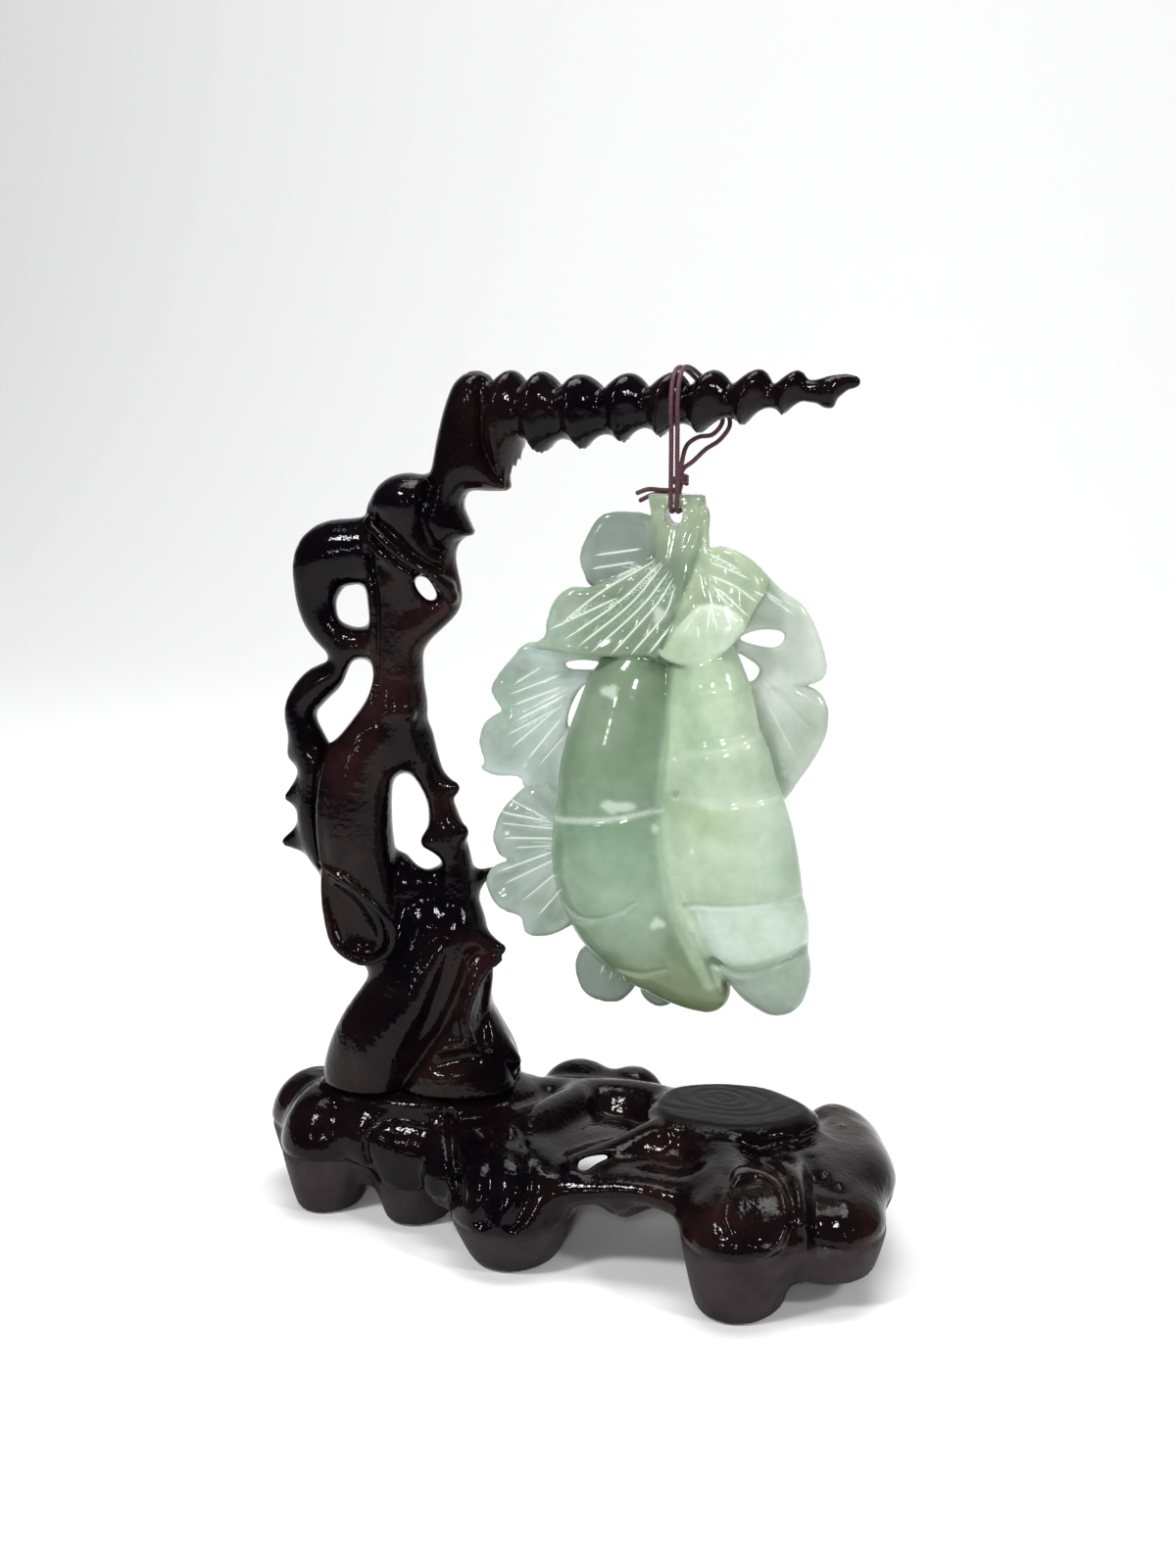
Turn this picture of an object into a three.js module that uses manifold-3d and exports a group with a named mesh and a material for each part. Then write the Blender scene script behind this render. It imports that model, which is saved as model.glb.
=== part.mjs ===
// A carved jade pendant of gourds and leaves, hung by a cord on a dark wood stand.
// Millimetres, +Z up, the viewer at -Y. The origin is under the middle of the stand, on the floor.

import * as THREE from 'three';
import { mergeVertices } from 'three/addons/utils/BufferGeometryUtils.js';
import Module from 'manifold-3d';

const wasm = await Module();
wasm.setup();

// Driving dimensions.
const standHeight = 301;
const baseLength = 234;
const baseDepth = 124;
const seatHeight = 48;
const armStart = -24;
const armLength = 110;
const armThickness = 27;
const armRidges = 10;
const ridgeDepth = 4;
const jadeHeight = 178;
const jadeWidth = 119;
const jadeDepth = 40;
const boreWidth = 5.8;
const boreHeight = 6.8;
const boreDrop = 43;
const boreAlong = 54;
const cordThickness = 1.6;
const clearance = 0.3;

// The tables further down are drawn for these sizes, and are scaled from them to the driving dimensions.
const drawnAt = {
  rise: 253, seat: 48, baseLength: 234, baseDepth: 124, jadeHeight: 178, jadeWidth: 119, jadeDepth: 40, boreX: 30, boreZ: 255,
};

const depthAxis = new THREE.Vector3(0, 1, 0);
const heightAxis = new THREE.Vector3(0, 0, 1);

// Solids: three.js geometry in, three.js geometry out, joined and cut in between.
function solid(geometry) {
  const bare = geometry.clone();
  bare.deleteAttribute('normal');
  bare.deleteAttribute('uv');
  const merged = mergeVertices(bare, 1e-4);
  return new wasm.Manifold(new wasm.Mesh({
    numProp: 3,
    vertProperties: new Float32Array(merged.attributes.position.array),
    triVerts: new Uint32Array(merged.index.array),
  }));
}

function joined(solids) {
  return solids.reduce((whole, piece) => whole.add(piece));
}

function meshOf(name, manifold, material) {
  const { vertProperties, triVerts } = manifold.getMesh();
  const geometry = new THREE.BufferGeometry();
  geometry.setAttribute('position', new THREE.BufferAttribute(vertProperties, 3));
  geometry.setIndex(new THREE.BufferAttribute(triVerts, 1));
  geometry.computeVertexNormals();
  const mesh = new THREE.Mesh(geometry, material);
  mesh.name = name;
  return mesh;
}

function block(x0, x1, y0, y1, z0, z1) {
  const box = new THREE.BoxGeometry(x1 - x0, y1 - y0, z1 - z0);
  return solid(box.translate((x0 + x1) / 2, (y0 + y1) / 2, (z0 + z1) / 2));
}

// A closed skin over rows of points, with a point at each end.
function skin(start, rings, end) {
  const sides = rings[0].length;
  const positions = [start, ...rings.flat(), end].flatMap((point) => point.toArray());
  const at = (ring, side) => 1 + ring * sides + (side % sides);
  const last = 1 + rings.length * sides;
  const index = [];
  for (let side = 0; side < sides; side += 1) {
    index.push(0, at(0, side + 1), at(0, side));
    index.push(last, at(rings.length - 1, side), at(rings.length - 1, side + 1));
    for (let ring = 0; ring < rings.length - 1; ring += 1) {
      index.push(at(ring, side), at(ring, side + 1), at(ring + 1, side));
      index.push(at(ring, side + 1), at(ring + 1, side + 1), at(ring + 1, side));
    }
  }
  const geometry = new THREE.BufferGeometry();
  geometry.setAttribute('position', new THREE.Float32BufferAttribute(positions, 3));
  geometry.setIndex(index);
  return geometry;
}

// A carved limb through points [x, y, z, half width, half depth], with rounded ends.
// The half depth lies along the axis given, and the half width across it and the limb.
function limb(points, axis = depthAxis, sides = 8, steps = 1) {
  const path = new THREE.CatmullRomCurve3(points.map(([x, y, z]) => new THREE.Vector3(x, y, z)));
  const sizes = new THREE.CatmullRomCurve3(points.map((p) => new THREE.Vector3(p[3], p[4], 0)));
  const count = (points.length - 1) * steps;
  const ringAt = (share, shift, size) => {
    const tangent = path.getTangent(share);
    const centre = path.getPoint(share).addScaledVector(tangent, shift);
    const across = new THREE.Vector3().crossVectors(axis, tangent).normalize();
    const half = sizes.getPoint(share);
    return Array.from({ length: sides }, (_, side) => {
      const angle = 2 * Math.PI * side / sides;
      return centre.clone()
        .addScaledVector(across, Math.max(half.x, 0.5) * size * Math.cos(angle))
        .addScaledVector(axis, Math.max(half.y, 0.5) * size * Math.sin(angle));
    });
  };
  const cap = (share) => 0.6 * Math.min(sizes.getPoint(share).x, sizes.getPoint(share).y);
  const tip = (share, shift) => path.getPoint(share).addScaledVector(path.getTangent(share), shift);
  const rings = [ringAt(0, -0.7 * cap(0), 0.72)];
  for (let ring = 0; ring <= count; ring += 1) {
    rings.push(ringAt(ring / count, 0, 1));
  }
  rings.push(ringAt(1, 0.7 * cap(1), 0.72));
  return skin(tip(0, -cap(0)), rings, tip(1, cap(1)));
}

// Stand upright, a root-like trunk that goes over at the top into a level arm.
// Its limbs are drawn in the front view as [x, z, half width], with y and the half depth after them.
const uprightShare = (standHeight - seatHeight) / drawnAt.rise;

function drawn([x, z, halfWidth, y = 2, halfDepth = halfWidth]) {
  const share = uprightShare;
  return [x * share, y * share, seatHeight + (z - drawnAt.seat) * share, halfWidth * share, halfDepth * share];
}

const lowerTrunk = [
  [-62, 44, 40, 6, 22], [-62, 54, 34, 6, 20], [-64, 68, 26, 5, 18], [-62, 83, 21.5, 4, 16],
  [-60, 97, 20, 3, 15], [-62, 110, 18, 2, 14], [-65, 119, 14, 1, 12],
];
const frontFace = [
  [-68, 186, 9, -2, 10], [-75, 175, 12, -4, 12], [-81, 164, 13.5, -5, 14], [-83, 148, 13.5, -6, 15],
  [-82, 134, 13, -6, 15], [-80, 120, 13, -5, 14], [-78, 108, 13, -4, 13], [-75, 99, 9, -3, 11],
];
const stem = [
  [-60, 246, 13, 0, 12], [-67, 232, 10, 0, 12], [-68, 215, 9, -1, 11], [-68, 198, 9.5, -1, 11],
  [-68, 184, 10, -1, 11], [-68, 172, 10, -1, 11],
];
const leftBranch = [
  [-70, 246, 7, 2, 8], [-84, 244, 7, 2, 8], [-96, 238, 7.5, 2, 8], [-98, 226, 5.5, 2, 7],
  [-95, 214, 5.5, 2, 7], [-86, 208, 5, 2, 7], [-74, 206, 6, 2, 7],
];
const leftRoot = [
  [-82, 209, 5, 2, 7], [-91, 202, 4.5, 2, 7], [-99, 193, 6, 2, 7], [-104, 183, 6, 2, 8],
  [-102, 172, 6, 2, 9], [-98, 160, 7.5, 2, 10], [-98, 146, 8.5, 2, 11], [-96, 134, 8, 2, 11], [-86, 122, 8, 2, 10],
];
const rightRoot = [
  [-63, 173, 6, 2, 8], [-58, 161, 4.6, 2, 7], [-55, 151, 4, 2, 6], [-52.5, 141, 5, 2, 7],
  [-49, 131, 4.5, 2, 7], [-49, 120, 6, 2, 8], [-47, 107, 6.5, 2, 9], [-47, 94, 8, 2, 10], [-48, 80, 10, 3, 12],
];
const neck = [
  [-22, 288, 13, 0, 13], [-33, 284, 15, 0, 13], [-40, 274, 13.5, 0, 12], [-46, 262, 8.5, 0, 11],
  [-47.5, 250, 7.5, 0, 10], [-54, 240, 8.5, 0, 11], [-62, 232, 9, 0, 11],
];
const curl = [[-56, 260, 8, 1, 10], [-64, 261, 7, 1, 10], [-69, 256, 6, 1, 9], [-67, 247, 7, 1, 10]];
const loop = [
  [-56, 240, 5, 1, 8], [-50.5, 232, 4, 1, 6], [-49, 223, 4, 1, 6], [-55, 216, 4, 1, 6], [-64, 212, 5, 1, 8],
];
const spikes = [
  [[-98, 158, 6], [-104, 153, 4], [-110, 151, 1.5]],
  [[-96, 141, 6], [-104, 137, 4], [-112, 135, 1.2]],
  [[-101, 174, 5], [-105, 169, 3.5], [-108, 167, 1.5]],
  [[-48, 120, 5, 4], [-42, 123, 3, 7], [-37, 126, 1.2, 10]],
  [[-46, 98, 7], [-38, 99, 4], [-30, 99, 1.2]],
  [[-54, 157, 3.5], [-49.5, 157, 1.8]],
  [[-45, 66, 12], [-36, 61, 7], [-28, 58, 3]],
];
const spoonRim = [
  [-92, 130, 3, -13, 4], [-91, 116, 3, -15, 4], [-88, 104, 3, -15, 4], [-80, 97.5, 3, -15, 4],
  [-71, 101, 3, -14, 4], [-68, 112, 3, -15, 4], [-74, 123, 3, -17, 4], [-84, 129, 2.5, -17, 3],
];
const spoonHollow = [[-86, 122, 5, -21, 5], [-80, 112, 8, -22, 8], [-78, 106, 6.5, -20, 6]];
const ribs = [
  [[-40, 98, 4, -8], [-46, 86, 4, -9], [-52, 72, 4.5, -11], [-61, 58, 5, -13], [-68, 50, 5, -14]],
  [[-52, 100, 4, -10], [-60, 86, 4.5, -10], [-68, 72, 4.5, -11], [-77, 60, 5, -12], [-84, 51, 5, -12]],
  [[-38, 84, 4, -6], [-38, 72, 4.5, -8], [-42, 61, 5, -12], [-49, 52, 5, -14]],
];

// The arm is a tapering horn whose section turns as it goes, which raises a ridge that winds along it.
const armTaper = 0.38;
const armRise = 1.5;
const tipDrop = 3;
const tipReach = 1.5;

function windingArm() {
  const sides = 12;
  const ringsPerRidge = 3;
  const count = armRidges * ringsPerRidge;
  const radiusAt = (share) => (armThickness / 2) * (1 - 0.985 * share) ** armTaper;
  const topAt = (share) => standHeight - armRise * (1 - share) - tipDrop * share ** 12;
  const rings = [];
  for (let ring = 0; ring <= count; ring += 1) {
    const share = ring / count;
    const radius = radiusAt(share);
    const middle = topAt(share) - radius;
    rings.push(Array.from({ length: sides }, (_, side) => {
      const angle = 2 * Math.PI * side / sides;
      const wave = Math.abs(Math.cos(Math.PI * (ring / ringsPerRidge) + angle / 2));
      const reach = radius - ridgeDepth * (1 - share * 0.6) * (1 - wave);
      return new THREE.Vector3(
        armStart + armLength * share,
        reach * Math.cos(angle),
        middle + reach * Math.sin(angle),
      );
    }));
  }
  const end = new THREE.Vector3(armStart + armLength + tipReach, 0, topAt(1) - radiusAt(1));
  const inside = new THREE.Vector3(armStart - 1, 0, topAt(0) - radiusAt(0));
  return skin(inside, rings, end);
}

function uprightSolid() {
  const limbs = [lowerTrunk, frontFace, stem, leftBranch, leftRoot, rightRoot, neck, curl, loop, spoonRim];
  const carved = [...limbs, ...spikes, ...ribs].map((points) => solid(limb(points.map(drawn))));
  const whole = joined([...carved, solid(windingArm())]).subtract(solid(limb(spoonHollow.map(drawn))));
  const foot = block(-baseLength, baseLength, -baseDepth, baseDepth, -seatHeight, seatHeight + clearance);
  return whole.subtract(foot);
}

// Stand base: rounded lobes round a seat for the upright, a flat stump at the right, and an opening between.
const lengthShare = baseLength / drawnAt.baseLength;
const depthShare = baseDepth / drawnAt.baseDepth;
const riseShare = seatHeight / drawnAt.seat;

// A lobe swells from a narrower foot to its widest line and closes in a dome.
function lobe({ x, y, halfLength, halfDepth, top, bottom = 0, line = 20, foot = 0.8 }) {
  const dome = 4;
  const profile = [new THREE.Vector2(0, bottom), new THREE.Vector2(foot, bottom), new THREE.Vector2(1, line)];
  for (let step = 1; step <= dome; step += 1) {
    const angle = (Math.PI / 2) * (step / dome);
    const radius = step === dome ? 0 : Math.cos(angle) ** 0.7;
    profile.push(new THREE.Vector2(radius, line + (top - line) * Math.sin(angle)));
  }
  return new THREE.LatheGeometry(profile, 12)
    .rotateX(Math.PI / 2)
    .scale(halfLength * lengthShare, halfDepth * depthShare, riseShare)
    .translate(x * lengthShare, y * depthShare, 0);
}

const lobes = [
  { x: -97, y: -4, halfLength: 17, halfDepth: 21, top: 44, line: 23, foot: 0.68 },
  { x: -106, y: 14, halfLength: 19, halfDepth: 17, top: 43, line: 24, bottom: 10 },
  { x: -98, y: 22, halfLength: 15, halfDepth: 14, top: 40, line: 22, foot: 0.7 },
  { x: -62, y: -7, halfLength: 16, halfDepth: 20, top: 42, line: 16, foot: 0.72 },
  { x: -20, y: -33, halfLength: 19, halfDepth: 25, top: 39, line: 17, foot: 0.78 },
  { x: -26, y: 2, halfLength: 19, halfDepth: 22, top: 44, line: 20, bottom: 10 },
  { x: -5, y: 34, halfLength: 19, halfDepth: 13, top: 45, line: 29, bottom: 18 },
  { x: 62, y: -49, halfLength: 20, halfDepth: 27, top: 42, line: 25, foot: 0.74 },
  { x: 76, y: -12, halfLength: 34, halfDepth: 33, top: 42, line: 27, bottom: 10 },
  { x: 91, y: -38, halfLength: 18, halfDepth: 20, top: 37, line: 24, bottom: 10 },
  { x: 91, y: 10, halfLength: 19, halfDepth: 32, top: 41, line: 24, bottom: 6 },
  { x: 90, y: 24, halfLength: 15, halfDepth: 16, top: 40, line: 22, foot: 0.75 },
];

const baseLimbs = [
  [[-6, -38, 26, 10, 9], [14, -41, 27, 8, 8], [34, -42, 27, 8, 8], [54, -40, 29, 12, 12]],
  [[-34, 14, 32, 14, 13], [-10, 18, 35, 11, 10], [14, 18, 36, 10, 10], [34, 10, 34, 13, 12]],
  [[-48, 0, 36, 7, 10], [-46, -16, 30, 6, 10], [-44, -30, 22, 5, 9]],
  [[-40, 6, 34, 16, 12], [-28, -8, 32, 14, 12], [-22, -22, 28, 14, 11]],
  [[-94, 0, 33, 15, 12], [-76, -4, 32, 14, 12], [-58, -4, 32, 14, 12]],
  [[40, -8, 36, 14, 10], [54, -26, 34, 16, 10], [62, -44, 32, 16, 9]],
  [[44, -2, 32, 12, 10], [32, -18, 30, 9, 9], [20, -36, 27, 8, 8]],
];

// A short upright drum with a flat top, for the seat under the trunk and for the stump.
function drum({ x, y, halfLength, halfDepth, bottom }) {
  const profile = [[0, bottom], [0.84, bottom], [1, seatHeight - 14], [1, seatHeight - 1.5],
    [0.97, seatHeight], [0, seatHeight]];
  return new THREE.LatheGeometry(profile.map(([radius, z]) => new THREE.Vector2(radius, z)), 20)
    .rotateX(Math.PI / 2)
    .scale(halfLength * lengthShare, halfDepth * depthShare, 1)
    .translate(x * lengthShare, y * depthShare, 0);
}

const seat = { x: -62, y: 8, halfLength: 40, halfDepth: 27, bottom: 10 };
const stump = { x: 53, y: 2, halfLength: 29, halfDepth: 21, bottom: 8 };

function baseSolid() {
  const limbs = baseLimbs.map((points) => limb(points.map(([x, y, z, halfWidth, halfHeight]) => [
    x * lengthShare, y * depthShare, z * riseShare, halfWidth * depthShare, halfHeight * riseShare,
  ]), heightAxis));
  const pieces = [...lobes.map(lobe), ...limbs, drum(seat), drum(stump)];
  return joined(pieces.map(solid));
}

// Jade pendant: fan-shaped leaves with scalloped edges, and two grooved gourds in front of them.
const jadeShare = {
  x: jadeWidth / drawnAt.jadeWidth, y: jadeDepth / drawnAt.jadeDepth, z: jadeHeight / drawnAt.jadeHeight,
};
const boreAt = { x: armStart + boreAlong, z: standHeight - boreDrop - boreHeight / 2 };

function hung([x, z, y = 0]) {
  return new THREE.Vector3(
    boreAt.x + (x - drawnAt.boreX) * jadeShare.x,
    y * jadeShare.y,
    boreAt.z + (z - drawnAt.boreZ) * jadeShare.z,
  );
}

// A leaf spreads from its stem to an outline, thick by the stem and thin at the edge, with pleats along it.
function leaf({ stem: from, outline, lift = 0, thickness = 9, edge = 2.4, pleat = 0.8 }) {
  const [stemX, stemZ, stemY] = from;
  const curve = new THREE.SplineCurve([...outline, outline[0]].map(([x, z]) => new THREE.Vector2(x, z)));
  const sides = 2 * outline.length;
  const rim = Array.from({ length: sides }, (_, side) => curve.getPoint(side / sides));
  if (!THREE.ShapeUtils.isClockWise(rim)) {
    rim.reverse();
  }
  const shares = [0.5, 0.92];
  const row = (share, half, face) => rim.map((point, side) => {
    const fold = (side % 2) * pleat * Math.min(share, 1 - share) * 2;
    return hung([
      stemX + (point.x - stemX) * share,
      stemZ + (point.y - stemZ) * share,
      stemY + lift * share * share + face * (half - fold),
    ]);
  });
  const halfAt = (share) => edge / 2 + (thickness - edge) / 2 * Math.sqrt(1 - share * share);
  const front = shares.map((share) => row(share, halfAt(share), -1));
  const back = shares.map((share) => row(share, halfAt(share), 1)).reverse();
  const rows = [...front, row(1, edge / 3, -1), row(1, edge / 3, 1), ...back];
  const start = hung([stemX, stemZ, stemY - thickness / 2]);
  const end = hung([stemX, stemZ, stemY + thickness / 2]);
  return solid(skin(start, rows, end));
}

const leaves = [
  { stem: [24, 236, -4], lift: 2, outline: [
    [30, 246], [23, 254], [12, 255], [3, 250], [-2, 238], [1, 230], [-8, 227], [-13, 217],
    [-18, 210], [-6, 208], [8, 208], [23, 210], [34, 222]] },
  { stem: [38, 220, -8], lift: 2, thickness: 10, outline: [
    [40, 229], [34, 222], [26, 213], [26, 209], [33, 206], [44, 208], [52, 214], [50, 223]] },
  { stem: [42, 232, -2], lift: 2, outline: [
    [36, 242], [41, 245], [51, 243], [61, 237], [61, 231], [58, 222], [51, 211], [40, 214], [34, 226]] },
  { stem: [58, 214, 2], lift: -1, thickness: 8, outline: [
    [57, 234], [64, 231], [73, 225], [79, 214], [81, 205], [76, 199], [66, 196], [53, 198], [46, 208], [50, 224]] },
  { stem: [66, 190, 2], lift: 0, thickness: 8, outline: [
    [66, 202], [76, 199], [82, 191], [81, 180], [75, 169], [67, 158], [60, 166], [57, 182], [58, 198]] },
  { stem: [-12, 188, 0], lift: 1, thickness: 9, outline: [
    [-14, 209], [-22, 209], [-30, 201], [-33, 192], [-30, 186], [-37, 181], [-37, 170], [-36, 165],
    [-22, 163], [-6, 166], [-2, 182], [2, 197], [-2, 207]] },
  { stem: [0, 203, -1], lift: 0, thickness: 9, outline: [
    [-14, 210], [0, 212], [16, 214], [28, 210], [26, 196], [12, 194], [0, 196], [-12, 200]] },
  { stem: [-14, 136, 0], lift: 1, thickness: 9, outline: [
    [-12, 166], [-22, 160], [-31, 150], [-33, 140], [-29, 133], [-36, 125], [-33, 118], [-24, 112],
    [-21, 106], [-14, 106], [-2, 113], [2, 128], [-2, 150]] },
  { stem: [12, 97, 0], lift: 1, thickness: 9, outline: [
    [-6, 111], [0, 103], [-4, 95], [-1, 86], [7, 82], [15, 86], [18, 90], [22, 84], [30, 84], [36, 92],
    [26, 106], [8, 112]] },
];

const gourds = [
  [[24, 208, 8, -2, 8], [17, 196, 15, -4, 12], [14, 182, 18, -5, 14], [12, 169, 20, -6, 15],
    [11, 157, 19.5, -5, 13.5], [10, 146, 21.5, -6, 15.5], [11.5, 134, 22.5, -6, 15.5], [15, 122, 21, -5, 13.5],
    [20, 112, 20.5, -5, 14], [27, 102, 17, -5, 12], [36, 93, 11, -5, 10], [42, 87, 6, -5, 6]],
  [[42, 209, 9, -5, 9], [44, 196, 13, -8, 11], [46, 182, 14.5, -8, 10], [47.5, 172, 17, -9, 12],
    [49, 164, 17.5, -9, 11.5], [51, 150, 20, -9, 13.5], [53.5, 137, 20.5, -9, 13.5], [57, 126, 18.5, -8, 11.5],
    [60, 117, 17.5, -8, 11.5], [63, 111, 14.5, -7, 10], [66, 102, 12.5, -7, 10], [67.5, 96, 9.5, -7, 8]],
];
const core = [
  [28, 214, 12, -1, 6], [27, 190, 18, -1, 8], [27, 165, 22, -1, 9], [30, 140, 24, -1, 9], [36, 118, 19, -1, 8],
  [46, 104, 12, -2, 6],
];

// The blade is the thin fold between the gourds, and the tab at the top is bored for the cord.
const blade = [
  [33, 206, 5, -8, 8], [32, 186, 4, -12, 8], [31, 160, 4, -12, 9], [34, 138, 5, -11, 10], [38, 122, 6, -10, 10],
  [42, 106, 7, -8, 9], [45, 94, 6, -6, 7],
];
const tabTop = 261.5;
const tab = [[34, 226, 10, -4, 9], [32, 238, 10, -2, 8], [30, 249, 10.5, 0, 4.6], [29, 266, 10, 0, 3.6]];

function hungLimb(points, sides) {
  return solid(limb(points.map(([x, z, halfWidth, y, halfDepth]) => {
    const place = hung([x, z, y]);
    return [place.x, place.y, place.z, halfWidth * jadeShare.x, halfDepth * jadeShare.y];
  }), depthAxis, sides));
}

function jadeSolid() {
  const carved = [...gourds.map((points) => hungLimb(points, 12)), hungLimb(blade, 8), hungLimb(core, 10)];
  const boredTab = hungLimb(tab, 12).subtract(block(-jadeWidth, jadeWidth, -jadeDepth, jadeDepth,
    hung([0, tabTop]).z, standHeight));
  const bore = new THREE.CylinderGeometry(0.5, 0.5, jadeDepth, 16)
    .scale(boreWidth, 1, boreHeight)
    .translate(boreAt.x, 0, boreAt.z);
  return joined([...leaves.map(leaf), ...carved, boredTab]).subtract(solid(bore));
}

// Hanging cord, one length wound twice over the arm and through the bore, with its two ends at the left.
const cordPoints = [
  [16.5, -1, 261.2], [20.6, -0.4, 262.6], [25, 1, 262.3], [28.6, 1.9, 262.3], [30.3, 2.4, 263.4],
  [30.6, 2.4, 265.2], [30.7, 2.5, 267], [31, 3.6, 271],
  [32.2, 6, 276.6], [35.8, 7.5, 279.4], [40.6, 9, 280.4], [43.4, 11.2, 285], [40.2, 12.3, 291], [35.2, 9.7, 297.6],
  [32, 4, 301.4], [30.4, -2.5, 302], [29.9, -8.7, 298.6], [29.8, -11.8, 291], [29.9, -11.2, 283],
  [29.6, -9.2, 272], [29.3, -7.6, 262.5], [29.1, -6.4, 258.6], [29, -4.5, 256], [29, 0, 255.7], [29, 4.5, 256],
  [29.1, 6.4, 258.6], [29.9, 5.8, 261.4], [30.6, 4.8, 263.6], [30.6, 4.6, 265.2], [30.7, 4.6, 267.2],
  [31.6, 5.2, 269.4], [34.4, 6.8, 271.6], [38.2, 8.8, 275.4],
  [42.8, 10.2, 278.6], [45.8, 11.5, 284], [42.6, 12.5, 291.2], [37.4, 9.9, 297.8], [34.2, 4, 301.6],
  [32.5, -2.5, 302.1], [32, -8.7, 298.6], [31.9, -11.8, 291], [31.9, -11.2, 283], [31.6, -9.2, 272],
  [31.4, -7.6, 262.5], [31.2, -6.4, 258.6], [31.1, -4.5, 256], [31.1, 0, 255.7], [31.1, 4.5, 256],
  [31.2, 6.5, 258.1], [30.2, 8.3, 260.2], [26, 8.4, 261.2], [20.6, 7, 260.2], [16.4, 5.4, 258.2],
];

function cordGeometry() {
  const path = new THREE.CatmullRomCurve3(cordPoints.map((point) => new THREE.Vector3(...point)));
  const section = new THREE.Shape();
  section.absarc(0, 0, cordThickness / 2, 0, 2 * Math.PI);
  return new THREE.ExtrudeGeometry(section, {
    steps: 78, curveSegments: 4, bevelEnabled: false, extrudePath: path,
  });
}

// The knot is the round lump of cord that holds the two strands behind the front ones.
const knotAt = { x: 30.6, y: 3.5, z: 265.6 };
const knotHeight = 2;

function knotGeometry() {
  const holdX = cordThickness / 2 + 3 * clearance;
  const holdY = cordThickness + 4 * clearance;
  const outline = new THREE.Shape();
  outline.absellipse(0, 0, holdX + cordThickness, holdY + cordThickness, 0, 2 * Math.PI);
  const hole = new THREE.Path();
  hole.absellipse(0, 0, holdX, holdY, 0, 2 * Math.PI, true);
  outline.holes.push(hole);
  return new THREE.ExtrudeGeometry(outline, {
    depth: knotHeight, curveSegments: 5, bevelThickness: 0.5, bevelSize: 0.5, bevelOffset: -0.5, bevelSegments: 1,
  }).translate(knotAt.x, knotAt.y, knotAt.z - knotHeight / 2);
}

const wood = new THREE.MeshStandardMaterial({ color: 0x1c0f0e, roughness: 0.25, metalness: 0 });
const jade = new THREE.MeshStandardMaterial({ color: 0xaebfae, roughness: 0.15, metalness: 0 });
const cord = new THREE.MeshStandardMaterial({ color: 0x4a2029, roughness: 0.7, metalness: 0 });

const group = new THREE.Group();
group.add(
  meshOf('stand_base', baseSolid(), wood),
  meshOf('stand_upright', uprightSolid(), wood),
  meshOf('jade_pendant', jadeSolid(), jade),
  meshOf('hanging_cord', solid(cordGeometry()), cord),
  meshOf('cord_knot', solid(knotGeometry()), cord),
);

// The origin goes under the middle of what stands and hangs there.
const middle = new THREE.Box3().setFromObject(group).getCenter(new THREE.Vector3());
group.position.set(-middle.x, -middle.y, 0);

export default group;
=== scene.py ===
import math

import bpy
import numpy as np
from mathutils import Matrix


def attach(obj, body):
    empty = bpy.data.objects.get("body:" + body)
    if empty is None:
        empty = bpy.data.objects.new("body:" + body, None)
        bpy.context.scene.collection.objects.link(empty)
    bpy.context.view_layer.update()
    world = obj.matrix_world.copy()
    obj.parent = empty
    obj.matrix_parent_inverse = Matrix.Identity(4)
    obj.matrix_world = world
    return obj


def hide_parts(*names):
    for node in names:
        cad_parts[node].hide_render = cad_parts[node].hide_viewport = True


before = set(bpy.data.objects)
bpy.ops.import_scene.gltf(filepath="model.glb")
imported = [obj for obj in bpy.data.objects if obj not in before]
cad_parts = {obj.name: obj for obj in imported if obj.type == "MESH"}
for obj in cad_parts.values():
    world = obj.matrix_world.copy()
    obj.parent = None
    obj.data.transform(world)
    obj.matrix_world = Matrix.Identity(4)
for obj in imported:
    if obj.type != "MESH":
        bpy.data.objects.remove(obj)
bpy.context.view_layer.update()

import openvdb

# The camera stands in front of the ornament and a little to its right, and looks down on it from just above
# the arm. All carving is drawn in millimetres from one point on the floor, which lies here in the frame.
drawing_origin = (7.5, 14.5, 0.0)
camera_distance = 660.0
camera_height = 313.0
camera_turn = math.radians(12.0)
camera_pitch = math.radians(77.05)
camera_lens = 45.0

camera_data = bpy.data.cameras.new("camera")
camera_data.lens = camera_lens
camera_data.sensor_width = 36.0
camera = bpy.data.objects.new("camera", camera_data)
bpy.context.scene.collection.objects.link(camera)
camera.location = (
    (drawing_origin[0] + camera_distance * math.sin(camera_turn)) / 1000,
    (drawing_origin[1] - camera_distance * math.cos(camera_turn)) / 1000,
    camera_height / 1000,
)
camera.rotation_euler = (camera_pitch, 0.0, camera_turn)
bpy.context.scene.camera = camera

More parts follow.
